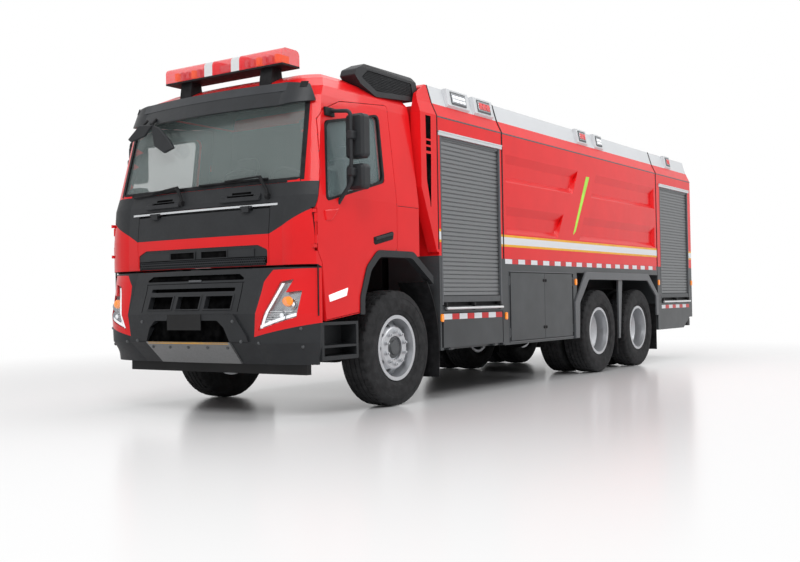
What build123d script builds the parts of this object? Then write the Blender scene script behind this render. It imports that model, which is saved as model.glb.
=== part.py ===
from build123d import *
from functools import cache
import math
import os

os.makedirs("parts", exist_ok=True)

# Driving sizes in millimetres. Everything is drawn from the front axle: y runs backwards from it,
# x to the truck's left and z up from the road. save() moves the whole truck to its middle.
BODY_WIDTH = 2500
WHEELBASE = 4600
BOGIE_SPREAD = 1370
FRONT_OVERHANG = 1560
REAR_MODULE_LENGTH = 1545
REAR_BUMPER_REACH = 75

# Wheels
TYRE_DIAMETER = 1076
TYRE_WIDTH = 314
RIM_DIAMETER = 571
RIM_WIDTH = 236
FLANGE_HEIGHT = 19
FLANGE_THICKNESS = 12
BEAD_GAP = 0.3
FRONT_WHEEL_X = 1045
REAR_OUTER_X = 1080
TWIN_SPACING = 350
DISC_THICKNESS = 14
HUB_BORE = 60
HUB_REACH = 300
BEARING_GAP = 0.4
HAND_HOLES = 10

# Steering
KINGPIN_X = 865
KINGPIN_RADIUS = 25
EYE_RADIUS = 52
EYE_HEIGHT = 140
PIN_GAP = 0.05
RUNNING_GAP = 0.3
FORK_GAP = 0.4

# Frame
RAIL_SPREAD = 850
RAIL_FLANGE = 85
RAIL_WALL = 9
RAIL_BOTTOM = 720
RAIL_TOP = 1000
RAIL_FRONT = -1330
SUBFRAME_TOP = 1100

# Cab
CAB_BACK = 297
CAB_HALF = 1245
CAB_FRONT = -1378
CAB_BOW = 40
CORNER_WIDTH = 300
CORNER_DEPTH = 80
CAB_WALL = 70
LID_THICKNESS = 55
FLOOR_BOTTOM = 1290
TUNNEL_HALF = 338
TUNNEL_TOP = 1530
STEP_WELL_X = 880
ROOF_SPLIT = 2812
SIDE_PANEL_X = 1055
PANEL_SEAM = 0.3
SEAT_HALF = 225
DOOR_THICKNESS = 60
DOOR_GAP = 6
GLASS_THICKNESS = 8
GLASS_INSET = 14
MIRROR_X = 1370
MIRROR_HALF = 98
LIGHT_BAR_HALF = 728
LID_HALF = 803
LID_BOTTOM = 1290
LID_TOP = 1776
COWL_BOTTOM = 1822
COWL_TOP = 1985

# Body
BODY_FRONT = 645
FRONT_MODULE_LENGTH = 1310
ARCH_AHEAD = 740
ARCH_BEHIND = 720
MODULE_GAP = 15
SKIRT_BOTTOM = 480
FLAP_TOP = 868
FRAME_PROUD = 20
LOCKER_INNER_X = 640
LOCKER_WALL = 25
FRONT_DOOR_LENGTH = 850
TANK_BOTTOM = 1410
KEEL_HALF = 560
SIDE_TOP = 2787
SHOULDER_TOP = 2915
SHOULDER_IN = 60
COVE_TOP = 3100
COVE_IN = 115
FAIRING_DEPTH = 110
WALKWAY_HALF = 900
SHUTTER_BOTTOM = 952
SHUTTER_TOP = 2596
SHUTTER_MARGIN = 45
SLAT_PITCH = 42
PANEL_THICKNESS = 24
HINGE_RADIUS = 12
HINGE_PIN = 6
HINGE_SET = 14
DOOR_CLEAR = 6

# Sizes worked out from those above
SIDE = BODY_WIDTH / 2
AXLE_Z = TYRE_DIAMETER / 2
AXLE_2 = WHEELBASE
AXLE_3 = WHEELBASE + BOGIE_SPREAD
SEAM_1 = BODY_FRONT + FRONT_MODULE_LENGTH
ARCH_START = AXLE_2 - ARCH_AHEAD
ARCH_END = AXLE_3 + ARCH_BEHIND
SEAM_2 = ARCH_END - MODULE_GAP
BODY_REAR = ARCH_END + REAR_MODULE_LENGTH - MODULE_GAP
REAR_END = BODY_REAR + REAR_BUMPER_REACH
RAIL_REAR = BODY_REAR - 40
Y_SHIFT = (FRONT_OVERHANG - REAR_END) / 2
REAR_INNER_X = REAR_OUTER_X - TWIN_SPACING
TWIN_MIDDLE_X = (REAR_OUTER_X + REAR_INNER_X) / 2
RIM_RADIUS = RIM_DIAMETER / 2

# Outlines, places and axes
CAB_STATIONS = [
    (816, CAB_HALF, CAB_FRONT, CAB_BACK),
    (1560, CAB_HALF, CAB_FRONT, CAB_BACK),
    (1870, CAB_HALF, CAB_FRONT + 30, CAB_BACK),
    (1990, CAB_HALF - 13, CAB_FRONT + 63, CAB_BACK),
    (2740, CAB_HALF - 97, CAB_FRONT + 218, CAB_BACK),
    (2830, CAB_HALF - 115, CAB_FRONT + 270, CAB_BACK - 10),
    (2920, CAB_HALF - 185, CAB_FRONT + 350, CAB_BACK - 50),
    (2985, CAB_HALF - 300, CAB_FRONT + 470, CAB_BACK - 120),
    (3015, CAB_HALF - 420, CAB_FRONT + 620, CAB_BACK - 220),
]
UNDERSIDE = [(-1700, 600), (-1700, FLOOR_BOTTOM), (-1258, FLOOR_BOTTOM), (-1186, FLOOR_BOTTOM - 20),
             (-1142, 816), (-662, 873), (-655, 1010), (-560, 1250, 120), (-400, FLOOR_BOTTOM + 100, 100),
             (600, FLOOR_BOTTOM + 100), (600, 600)]
DOOR_OUTLINE = [(-1246, 1420), (-1246, 1755), (-1180, 1985), (-1102, 2524), (-1056, 2602, 30),
                (-794, 2714, 120), (-66, 2786, 30), (-76, 1425, 60), (-395, 1420, 100), (-560, 1265, 120),
                (-655, 1020), (-668, 884), (-1136, 826), (-1178, 1300)]
WINDOW_OUTLINE = [(-1127, 1813, 40), (-1040, 2515, 60), (-215, 2685, 60), (-232, 2050, 40)]
DOOR_HINGE = (1236, -1250)
# Room round the hinge for the front edge of the opening door
DOOR_SWING = 205
HINGE_SPAN = (1425, 1745)
SCREEN_OUTLINE = [(-1110, COWL_TOP + 15, 60), (-1060, 2735, 60), (1060, 2735, 60),
                  (1110, COWL_TOP + 15, 60)]
LID_AXIS = (-1360, 1792)
LID_PIVOT_X = 560
GRILLE_OUTLINE = [(-790, 1310), (-790, 1425, 25), (-690, 1468, 40), (690, 1468, 40), (790, 1425, 25),
                  (790, 1310)]
COLUMN_TOP = (640, -840, 1985)
COLUMN_DIRECTION = Vector(0, 240, 260).normalized()
BUMPER_STATIONS = [
    (455, 1215, -1345),
    (640, 1245, -FRONT_OVERHANG + 38),
    (886, 1250, -FRONT_OVERHANG + FRAME_PROUD + 4),
    (1080, 1250, -1470),
    (1190, 1249, -1442),
    (1268, 1247, -1416),
]
BUMPER_BACK = -1195
BUMPER_WALL = 50
COVER_OUTLINE = [(757, 693), (812, 1150), (890, 1249), (1300, 1260), (1300, 815)]
LAMP_OUTLINE = [(975, 1148), (1085, 1168), (1035, 1060), (1150, 1073), (1130, 855), (808, 748)]
TAIL_SHUTTER_HALF = 640
RIDGE_LEAN = 0.55
PRESS_DEPTH = 45
PRESS_SLOPE = 30
MONITOR = (0, SEAM_1 + 800)
MONITOR_Z = SHOULDER_TOP + 180
HINGE_X = SIDE - PANEL_THICKNESS / 2
LOCKER_START = SEAM_1 + 60
LOCKER_END = ARCH_START - 10
LOCKER_LOW = 512
LOCKER_HIGH = 1262
FLAP_SPAN = (BODY_FRONT + 60, SEAM_1 - 40)
FLAP_HINGE_Z = SKIRT_BOTTOM + 9
DOOR_FIRST = SEAM_1 + 145
DOOR_LAST = ARCH_START - 140
DOOR_SPLIT = DOOR_FIRST + FRONT_DOOR_LENGTH
FLAP_HINGES = (FLAP_SPAN[0] + 150, FLAP_SPAN[1] - 150)
DOOR_HINGES = (LOCKER_LOW + 90, LOCKER_HIGH - 90)
KNUCKLE_HALF = 30
ROOF_LAMPS = [(BODY_FRONT + 280, 430), (BODY_FRONT + 820, 400), (SEAM_1 + 2090, 300),
              (SEAM_1 + 2640, 260), (SEAM_2 + 560, 230)]


# Helpers for placing plain shapes

def box(x, y, z):
    """A box from pairs of limits."""
    middle = Pos((x[0] + x[1]) / 2, (y[0] + y[1]) / 2, (z[0] + z[1]) / 2)
    return middle * Box(x[1] - x[0], y[1] - y[0], z[1] - z[0])


def outline(points):
    """A flat face from points; a third value rounds that corner."""
    face = Polygon(*[(p[0], p[1]) for p in points])
    for p in points:
        if len(p) == 3:
            corner = face.vertices().sort_by_distance((p[0], p[1], 0))[0]
            face = fillet(corner, p[2])
    return face


def side_prism(face, x):
    """A side view (y, z) drawn out across the truck."""
    placed = Pos(x[0], 0, 0) * (Plane.YZ * face)
    return extrude(placed, x[1] - x[0], dir=(1, 0, 0))


def front_prism(face, y):
    """A front view (x, z) drawn out along the truck."""
    placed = Pos(0, y[0], 0) * (Plane.XZ * face)
    return extrude(placed, y[1] - y[0], dir=(0, 1, 0))


def rod(start, end, radius):
    """A round bar between two points."""
    axis = Vector(*end) - Vector(*start)
    plane = Plane(origin=start, z_dir=axis)
    return extrude(plane * Circle(radius), axis.length)


def mirrored(solid):
    return mirror(solid, about=Plane.YZ)


def both(solid):
    return [solid, mirrored(solid)]


def join(first, *others):
    total = first
    for other in others:
        total = total + other
    return total


def largest(shape):
    """The largest solid of a shape, without crumbs left by its cuts."""
    return shape.solids().sort_by(SortBy.VOLUME)[-1]


def save(name, *solids):
    """Write one piece, moved from the front axle to the middle of the truck."""
    flat = []
    for solid in solids:
        flat.extend(solid.solids())
    shape = flat[0] if len(flat) == 1 else Compound(children=flat)
    export_step(Pos(0, Y_SHIFT, 0) * shape, "parts/" + name + ".step")


# Wheels

def turned(edges):
    """Turn a section (along the axle, radius) about the axle line."""
    section = make_face(edges)
    return revolve(section, Axis.X)


def tyre(x):
    half = TYRE_WIDTH / 2
    bead = RIM_RADIUS + BEAD_GAP
    base = RIM_WIDTH / 2 - BEAD_GAP
    outer = TYRE_DIAMETER / 2
    shoulder = outer - 12
    wall = bead + FLANGE_HEIGHT + 1
    edges = [
        Line((-base, bead), (base, bead)),
        Line((base, bead), (base, wall)),
        ThreePointArc((base, wall), (half, (bead + outer) / 2), (half - 14, outer - 42)),
        ThreePointArc((half - 14, outer - 42), (half - 21, shoulder - 8), (half - 38, shoulder + 7)),
        ThreePointArc((half - 38, shoulder + 7), (0, outer), (38 - half, shoulder + 7)),
        ThreePointArc((38 - half, shoulder + 7), (21 - half, shoulder - 8), (14 - half, outer - 42)),
        ThreePointArc((14 - half, outer - 42), (-half, (bead + outer) / 2), (-base, wall)),
        Line((-base, wall), (-base, bead)),
    ]
    return Pos(x, 0, 0) * turned(edges)


def rim_barrel():
    half = RIM_WIDTH / 2
    lip = half + FLANGE_THICKNESS
    top = RIM_RADIUS + FLANGE_HEIGHT
    points = [
        (-half, RIM_RADIUS), (half, RIM_RADIUS), (half, top), (lip, top), (lip, RIM_RADIUS - 14),
        (half - 40, RIM_RADIUS - 20), (40 - half, RIM_RADIUS - 20), (-lip, RIM_RADIUS - 14),
        (-lip, top), (-half, top),
    ]
    return revolve(Polygon(*points), Axis.X)


def hand_hole_cutters(radius, size, x):
    holes = []
    for i in range(HAND_HOLES):
        angle = 2 * math.pi * i / HAND_HOLES
        place = Pos((x[0] + x[1]) / 2, radius * math.cos(angle), radius * math.sin(angle))
        holes.append(place * Rot(0, 90, 0) * Cylinder(size, x[1] - x[0]))
    return holes


def front_rim(x):
    """Wheel whose disc bulges outwards, with a hub and brake drum behind it."""
    seat = RIM_RADIUS - 16
    disc = Polygon((-10, seat), (-10 + DISC_THICKNESS, seat), (96, 196), (104, 186), (104, 112),
                   (70, 112), (70, HUB_BORE), (-60, HUB_BORE), (-60, 150), (-134, 150), (-134, 205),
                   (-40, 205), (-40, 186), (82, 178))
    solid = rim_barrel() + revolve(disc, Axis.X)
    for hole in hand_hole_cutters(222, 24, (0, 90)):
        solid = solid - hole
    return Pos(x, 0, 0) * solid


def twin_rims(outer_x, inner_x):
    """Two dished wheels back to back on one hub, with the brake drum inside the inner one."""
    middle = (outer_x + inner_x) / 2
    seat = RIM_RADIUS - 16
    rise = outer_x - middle
    disc = Polygon((0, 112), (0, 190), (20, 200), (rise - 30, seat), (rise - 10, seat), (32, 186),
                   (14, 178), (14, 112))
    outer_disc = revolve(disc, Axis.X)
    for hole in hand_hole_cutters(226, 24, (10, 90)):
        outer_disc = outer_disc - hole
    inner_disc = mirrored(outer_disc)
    hub = revolve(Polygon((-HUB_REACH, HUB_BORE), (-HUB_REACH, 205), (-30, 205), (-30, 178), (-1, 178),
                          (0, 120), (95, 105), (118, 92), (118, 0), (98, 0), (98, HUB_BORE)), Axis.X)
    discs = Pos(middle, 0, 0) * (outer_disc + inner_disc + hub)
    return Pos(outer_x, 0, 0) * rim_barrel() + Pos(inner_x, 0, 0) * rim_barrel() + discs


def wheel_place(y):
    return Pos(0, y, AXLE_Z)


def save_wheels():
    front = wheel_place(0)
    front_tyre = front * tyre(FRONT_WHEEL_X)
    front_metal = front * front_rim(FRONT_WHEEL_X)
    save("tyre_front_left", front_tyre)
    save("tyre_front_right", mirrored(front_tyre))
    save("rim_front_left", front_metal)
    save("rim_front_right", mirrored(front_metal))
    pair = [tyre(REAR_OUTER_X), tyre(REAR_INNER_X)]
    metal = twin_rims(REAR_OUTER_X, REAR_INNER_X)
    for number, y in ((1, AXLE_2), (2, AXLE_3)):
        place = wheel_place(y)
        save("tyres_rear%d_left" % number, *[place * t for t in pair])
        save("tyres_rear%d_right" % number, *[mirrored(place * t) for t in pair])
        save("rims_rear%d_left" % number, place * metal)
        save("rims_rear%d_right" % number, mirrored(place * metal))


# Chassis

def axle_beam():
    """Forged front beam, dropped in the middle, with an upright eye at each end."""
    drop = 100
    half = [(0, -drop - 50), (470, -drop - 50), (620, -50), (KINGPIN_X, -50), (KINGPIN_X, 50), (600, 50),
            (450, -drop + 50), (0, -drop + 50)]
    points = [(x, AXLE_Z + z) for x, z in half]
    beam = front_prism(Polygon(*points), (-45, 45))
    eye = Pos(KINGPIN_X, 0, AXLE_Z) * Cylinder(EYE_RADIUS, EYE_HEIGHT)
    bore = Pos(KINGPIN_X, 0, AXLE_Z) * Cylinder(KINGPIN_RADIUS + PIN_GAP, EYE_HEIGHT + 60)
    side = (beam + eye) - bore
    return side + mirrored(side)


def rear_housing(y):
    """Axle tube with a round middle, spring pads and a spindle at each end."""
    end = TWIN_MIDDLE_X + 70
    tube_end = TWIN_MIDDLE_X - HUB_REACH - 15
    tube = rod((-tube_end, y, AXLE_Z), (tube_end, y, AXLE_Z), 85)
    spindle = rod((-end, y, AXLE_Z), (end, y, AXLE_Z), HUB_BORE - BEARING_GAP)
    bowl = Pos(0, y, AXLE_Z) * Sphere(235)
    nose = rod((0, y, AXLE_Z), (0, y - 420, AXLE_Z + 60), 90)
    housing = join(tube, spindle, bowl, nose)
    pad = box((440, 540), (y - 90, y + 90), (AXLE_Z, AXLE_Z + 105))
    return join(housing, pad, mirrored(pad))


def front_spring():
    """Leaf pack under a rail, with hangers and a pad on the axle beam."""
    x = (RAIL_SPREAD / 2 - RAIL_FLANGE, RAIL_SPREAD / 2)
    reach = 760
    top = RAIL_BOTTOM - 40
    low = AXLE_Z + 30
    edges = [
        ThreePointArc((-reach, top), (0, low), (reach, top)),
        Line((reach, top), (reach, top - 30)),
        ThreePointArc((reach, top - 30), (0, low - 65), (-reach, top - 30)),
        Line((-reach, top - 30), (-reach, top)),
    ]
    pack = side_prism(make_face(edges), x)
    hangers = [box(x, (side * reach - 40, side * reach + 40), (top - 40, RAIL_BOTTOM))
               for side in (-1, 1)]
    pad = box(x, (-70, 70), (AXLE_Z - 50, low - 20))
    return join(pack, *hangers, pad)


def rear_spring():
    """Bogie leaf pack resting on both axle pads and pivoted on a bracket at the rail."""
    middle = (AXLE_2 + AXLE_3) / 2
    reach = BOGIE_SPREAD / 2
    pad_top = AXLE_Z + 105
    x = (450, 535)
    edges = [ThreePointArc((middle - reach - 80, pad_top + 35), (middle, pad_top + 150),
                           (middle + reach + 80, pad_top + 35)),
             Line((middle + reach + 80, pad_top + 35), (middle + reach + 80, pad_top)),
             ThreePointArc((middle + reach + 80, pad_top), (middle, pad_top + 60),
                           (middle - reach - 80, pad_top)),
             Line((middle - reach - 80, pad_top), (middle - reach - 80, pad_top + 35)), ]
    pack = side_prism(make_face(edges), x)
    seats = [box(x, (y - 60, y + 60), (pad_top, pad_top + 40)) for y in (AXLE_2, AXLE_3)]
    bracket = box((RAIL_SPREAD / 2, x[1]), (middle - 85, middle + 85), (pad_top + 30, RAIL_TOP - 60))
    return join(pack, *seats, bracket)


def frame():
    """Two channel rails with a subframe, cross members and cab posts."""
    web = RAIL_SPREAD / 2
    lip = web - RAIL_FLANGE
    low = RAIL_BOTTOM
    top = RAIL_TOP
    wall = RAIL_WALL
    channel = Polygon((web, low), (web, top), (lip, top), (lip, top - wall), (web - wall, top - wall),
                      (web - wall, low + wall), (lip, low + wall), (lip, low))
    rail = front_prism(channel, (RAIL_FRONT, RAIL_REAR))
    sill = box((lip, web), (BODY_FRONT + 20, RAIL_REAR), (RAIL_TOP, SUBFRAME_TOP))
    posts = []
    for y, height in ((-1180, FLOOR_BOTTOM), (200, FLOOR_BOTTOM + 100)):
        posts.append(box((lip + 5, web - 5), (y - 50, y + 50), (RAIL_TOP, height)))
    side = join(rail, sill, *posts)
    total = side + mirrored(side)
    inner = web - wall
    spots = [-1230, 900, 2400, 3700, (AXLE_2 + AXLE_3) / 2, RAIL_REAR - 60]
    for y in spots:
        total = total + box((-inner, inner), (y - 50, y + 50), (low + 50, top - 50))
    return total


def engine():
    """The engine and gearbox as one plain block on four feet."""
    web = RAIL_SPREAD / 2
    block = box((-322, 322), (-900, 300), (610, 1470))
    feet = [box((-web + 5, web - 5), (y - 50, y + 50), (RAIL_TOP, RAIL_TOP + 40)) for y in (-700, 60)]
    return join(block, *feet)


def knuckle():
    """Steering knuckle: a fork round the beam eye, the kingpin and the wheel spindle."""
    half = EYE_HEIGHT / 2 + FORK_GAP
    arm = 40
    outer = KINGPIN_X + EYE_RADIUS + 46
    pin = Pos(KINGPIN_X, 0, AXLE_Z) * Cylinder(KINGPIN_RADIUS, 2 * (half + arm))
    upper = box((KINGPIN_X - 45, outer), (-45, 45), (AXLE_Z + half, AXLE_Z + half + arm))
    lower = box((KINGPIN_X - 45, outer), (-45, 45), (AXLE_Z - half - arm, AXLE_Z - half))
    back = box((KINGPIN_X + EYE_RADIUS + 8, outer), (-45, 45), (AXLE_Z - half - arm, AXLE_Z + half + arm))
    spindle = rod((outer - 10, 0, AXLE_Z), (FRONT_WHEEL_X + 60, 0, AXLE_Z), HUB_BORE - BEARING_GAP)
    return join(pin, upper, lower, back, spindle)


def save_chassis():
    save("frame", frame())
    save("engine", engine())
    save("axles", axle_beam(), rear_housing(AXLE_2), rear_housing(AXLE_3))
    save("leaf_springs", *both(front_spring()), *both(rear_spring()))
    left = knuckle()
    save("knuckle_left", left)
    save("knuckle_right", mirrored(left))


# Cab hull, from level sections


def bowed_section(z, half, front, back, bow, corner_width, corner_depth):
    """A level outline with a bowed front and drawn-back corners."""
    x = half - corner_width
    y = front + bow
    end = y + corner_depth
    bend_x = x + 0.72 * corner_width
    bend_y = y + 0.36 * corner_depth
    edges = [
        ThreePointArc((-x, y), (0, front), (x, y)),
        ThreePointArc((x, y), (bend_x, bend_y), (half, end)),
        Line((half, end), (half, back)),
        Line((half, back), (-half, back)),
        Line((-half, back), (-half, end)),
        ThreePointArc((-half, end), (-bend_x, bend_y), (-x, y)),
    ]
    return Pos(0, 0, z) * make_face(edges)


@cache
def cab_loft(inset):
    """The cab's outer form, or the same form moved inwards."""
    sections = []
    last = len(CAB_STATIONS) - 1
    for i, (z, half, front, back) in enumerate(CAB_STATIONS):
        level = z - inset if i == last else z
        sections.append(bowed_section(level, half - inset, front + inset, back - inset, CAB_BOW,
                                      CORNER_WIDTH, CORNER_DEPTH))
    return loft(sections, ruled=True)


def cab_hull(inset):
    """The cab with its underside, step wells and engine tunnel taken out."""
    wide = 1600
    under = outline(UNDERSIDE)
    if inset > 0:
        under = offset(under, inset, kind=Kind.INTERSECTION)
    hull = cab_loft(inset) - side_prism(under, (-wide, wide))
    well = STEP_WELL_X + inset
    hull = hull - box((-well, well), (-1700, 600), (500, FLOOR_BOTTOM + inset))
    tunnel = TUNNEL_HALF + inset
    return hull - box((-tunnel, tunnel), (-1700, 600), (500, TUNNEL_TOP + inset))


def door_hinge_barrels(extra):
    """The two hinge barrels of the left door."""
    x, y = DOOR_HINGE
    low, high = HINGE_SPAN
    spans = [(low + 35, low + 105), (high - 105, high - 35)]
    return [rod((x, y, a - extra), (x, y, b + extra), 14 + extra) for a, b in spans]


def cab_shell():
    """Welded cab: floor, back, sides, corner panels and fire wall, with the openings cut."""
    shell = cab_hull(0) - cab_hull(CAB_WALL)
    hole = door_hole()
    shell = shell - hole - mirrored(hole)
    screen = front_prism(outline(SCREEN_OUTLINE), (-1700, -1000))
    shell = shell - screen
    shell = shell - box((-1600, 1600), (-1600, 600), (ROOF_SPLIT, 3200))
    lid_room = cab_loft(0) - cab_loft(LID_THICKNESS + 7)
    lid_half = LID_HALF + DOOR_GAP
    lid_room = lid_room & box((-lid_half, lid_half), (-1500, -1000), (LID_BOTTOM - 5, COWL_BOTTOM))
    shell = shell - lid_room
    cowl_room = cab_loft(0) - cab_loft(CAB_WALL / 2)
    shell = shell - (cowl_room & cowl_region())
    low, high = HINGE_SPAN
    x, y = DOOR_HINGE
    pin = rod((x, y, low), (x, y, high), 7)
    lugs = [box((x - 16, x + 8), (y - 40, y + 5), span) for span in ((low, low + 28), (high - 28, high))]
    for part in [pin] + lugs:
        shell = shell + part + mirrored(part)
    return shell


def cab_panels():
    """The cab shell split where its panels meet: floor and fire wall, screen header, back and sides."""
    shell = cab_shell()
    split = CAB_BACK - CAB_WALL - 12
    back = box((-1600, 1600), (split, 600), (0, 3200))
    ahead = (-1700, split - PANEL_SEAM)
    left = box((SIDE_PANEL_X, 1600), ahead, (0, 3200))
    inner = SIDE_PANEL_X - PANEL_SEAM
    low = shell & box((-inner, inner), ahead, (0, 2300))
    header = shell & box((-inner, inner), ahead, (2300, 3200))
    tread = box((STEP_WELL_X + 40, CAB_HALF - 80), (-1075, -750), (1080, 1105))
    low = low + tread + mirrored(tread)
    for pivot in lid_pivots():
        low = low + (pivot - cab_loft(CAB_WALL))
    side = largest(shell & left)
    return [low, header, largest(shell & back), side, mirrored(side)]


def door_hole():
    """Opening for the left door, with more room beside the hinge."""
    wide = (1000, 1400)
    opening = offset(outline(DOOR_OUTLINE), DOOR_GAP, kind=Kind.ARC)
    return side_prism(opening, wide) + box(wide, (DOOR_HINGE[1] - 16, -1200), (1400, 1762))


def cowl_region():
    """Room of the dark cowl under the windscreen with its corner pieces."""
    across = outline([(-1400, COWL_TOP), (1400, COWL_TOP), (1400, 1775), (CAB_HALF, 1770),
                      (LID_HALF + DOOR_GAP, 1556), (LID_HALF + DOOR_GAP, COWL_BOTTOM),
                      (-LID_HALF - DOOR_GAP, COWL_BOTTOM), (-LID_HALF - DOOR_GAP, 1556),
                      (-CAB_HALF, 1770), (-1400, 1775)])
    return front_prism(across, (-1600, -1100))


def lid_pivots():
    """Pins and lugs on the fire wall that carry the lid."""
    y, z = LID_AXIS
    parts = []
    for middle in (-LID_PIVOT_X, LID_PIVOT_X):
        parts.append(rod((middle - 60, y, z), (middle + 60, y, z), 7))
        for edge in (-60, 44):
            parts.append(box((middle + edge, middle + edge + 16), (y - 8, CAB_FRONT + 120),
                             (z - 8, z + 12)))
    return parts


def front_lid_skin():
    skin = cab_loft(0) - cab_loft(LID_THICKNESS)
    return skin & box((-LID_HALF, LID_HALF), (-1500, -1000), (LID_BOTTOM, LID_TOP))


def lid_dark_region():
    across = outline([(-900, LID_TOP + 40), (900, LID_TOP + 40), (900, 1557), (-900, 1557)])
    return front_prism(across, (-1500, -1000))


def lid_red():
    """Lower red band of the lid with the grille opening."""
    opening = front_prism(outline(GRILLE_OUTLINE), (-1500, -1000))
    return front_lid_skin() - lid_dark_region() - opening


def lid_dark():
    """Dark upper panel of the lid with its hinge barrels, and the upper grille."""
    y, z = LID_AXIS
    panel = front_lid_skin() & lid_dark_region()
    for middle in (-LID_PIVOT_X, LID_PIVOT_X):
        panel = panel - box((middle - 66, middle + 66), (-1500, -1000), (LID_TOP - 12, LID_TOP + 40))
        arm = box((middle - 40, middle + 40), (y - 12, y + 45), (LID_TOP - 24, z - 4))
        barrel = rod((middle - 40, y, z), (middle + 40, y, z), 13)
        bore = rod((middle - 60, y, z), (middle + 60, y, z), 7 + PIN_GAP)
        panel = (panel + arm + barrel) - bore
    skin = (cab_loft(6) - cab_loft(LID_THICKNESS - 8))
    grille = skin & front_prism(outline(GRILLE_OUTLINE), (-1500, -1000))
    for x in (-345, 345):
        for level in (1352, 1404):
            slot = outline([(x - 290, level, 12), (x - 290, level + 30, 12), (x + 290, level + 30, 12),
                            (x + 290, level, 12)])
            grille = grille - front_prism(slot, (-1500, -1000))
    return panel, grille


def cab_roof():
    skin = cab_loft(0) - cab_loft(CAB_WALL)
    return skin & box((-1600, 1600), (-1600, 600), (ROOF_SPLIT, 3200))


def windscreen():
    inner = GLASS_INSET + GLASS_THICKNESS
    skin = cab_loft(GLASS_INSET) - cab_loft(inner)
    return skin & front_prism(outline(SCREEN_OUTLINE), (-1700, -1000))


def cab_door():
    """Left door as thick as the wall, with the window cut and two hinge barrels."""
    x, y = DOOR_HINGE
    low, high = HINGE_SPAN
    door = cab_loft(0) & side_prism(outline(DOOR_OUTLINE), (900, 1400))
    door = door - cab_loft(DOOR_THICKNESS)
    door = door - side_prism(outline(WINDOW_OUTLINE), (900, 1400))
    door = door - rod((x, y, low - 10), (x, y, high + 10), 16)
    door = door - box((x - 24, x + 30), (y - 60, y + 12), (low - 8, low + 34))
    door = door - box((x - 24, x + 30), (y - 60, y + 12), (high - 34, high + 8))
    for barrel in door_hinge_barrels(0):
        door = door + barrel
    web_spans = [(low + 35, low + 105), (high - 105, high - 35)]
    for a, b in web_spans:
        door = door + box((x - 8, x + 8), (y, y + 24), (a, b))
    return door - rod((x, y, low - 20), (x, y, high + 20), 7 + PIN_GAP)


def door_glass():
    skin = cab_loft(26) - cab_loft(32)
    return skin & side_prism(outline(WINDOW_OUTLINE), (900, 1400))


def mirror_arm(ahead):
    """Bent tube that springs from the left door above and below its window."""
    reach = 230
    inward = Vector(-reach, -20, 0).normalized()
    plane = Plane(origin=(MIRROR_X, ahead, 0), x_dir=inward, z_dir=inward.cross(Vector(0, 0, 1)))
    path = plane * FilletPolyline((reach, 2612), (0, 2590), (0, 1990), (0.6 * reach, 1812), radius=50)
    profile = Plane(origin=path @ 0, z_dir=path % 0) * Circle(17)
    return sweep(profile, path=path) - cab_loft(-PANEL_SEAM)


def mirror_set():
    """Two mirror heads on a bent arm."""
    x = MIRROR_X
    y = -850
    ahead = y - 75
    arm = mirror_arm(ahead)
    for low, high in ((1930, 2145), (2195, 2575)):
        middle = max((low + high) / 2, 2070)
        arm = arm + box((x - 12, x + 12), (ahead + 5, y), (middle - 14, middle + 14))
        head = box((x - MIRROR_HALF, x + MIRROR_HALF), (y - 38, y + 60), (low, high))
        head = fillet(head.edges().filter_by(Axis.Y), 40)
        head = chamfer(head.faces().sort_by(Axis.Y)[0].edges(), 22)
        arm = arm + head
    return arm


def arch_trim():
    """Dark lip round the front wheel arch, hung on the cab side."""
    reach = 60
    outer = outline([(-668, 860), (-662, 1020), (-560, 1285, 140), (-390, 1432, 120), (180, 1432, 120),
                     (520, 1205), (520, 1130), (150, 1372, 120), (-360, 1372, 120), (-500, 1250, 120),
                     (-600, 1010), (-606, 860)])
    lip = side_prism(outer, (CAB_HALF - reach, CAB_HALF + 12))
    return lip - cab_hull_room()


def cab_hull_room():
    """The cab and its doors, grown a hair, for seating what is fixed on them."""
    return cab_loft(-PANEL_SEAM) - side_prism(outline(UNDERSIDE), (-1600, 1600))


def sun_visor():
    """Dark visor over the windscreen, thick in the middle and drawn down at the corners."""
    lower = 2655
    upper = 2865
    across = outline([(-1165, 2690), (-1120, 2830), (-860, upper), (860, upper), (1120, 2830),
                      (1165, 2690), (1090, 2680), (840, lower), (-840, lower), (-1090, 2680)])
    block = front_prism(across, (-1450, -1090))
    outside = bowed_section(lower - 50, 1160, -1330, -900, 70, 320, 190)
    top = bowed_section(upper + 50, 1150, -1200, -900, 70, 320, 190)
    form = loft([outside, top], ruled=True)
    hollow = Pos(0, 34, -34) * form
    shade = (block & form) - (hollow & box((-1130, 1130), (-1500, -800), (2500, upper - 60)))
    return shade - cab_loft(-PANEL_SEAM)


def cowl():
    skin = cab_loft(0) - cab_loft(CAB_WALL / 2)
    hole = door_hole()
    return (skin & cowl_region()) - hole - mirrored(hole)


def dashboard():
    """Dashboard with the steering column, its ends cut back for the opening doors."""
    form = outline([(-1330, 1420), (-1330, 1980), (-1120, 1965, 40), (-930, 1900, 60), (-900, 1790, 50),
                    (-1010, 1640), (-1100, 1420)])
    block = side_prism(form, (-1200, 1200)) & cab_loft(CAB_WALL + 0.3)
    tunnel = TUNNEL_HALF + CAB_WALL + 0.3
    block = block - box((-tunnel, tunnel), (-1500, 0), (1000, TUNNEL_TOP + CAB_WALL + 0.3))
    x, y = DOOR_HINGE
    for side in (-1, 1):
        block = block - rod((side * x, y, 1000), (side * x, y, 2200), DOOR_SWING)
    end = COLUMN_TOP
    start = (end[0], end[1] - 240, end[2] - 260)
    return block + rod(start, end, 32)


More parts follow.
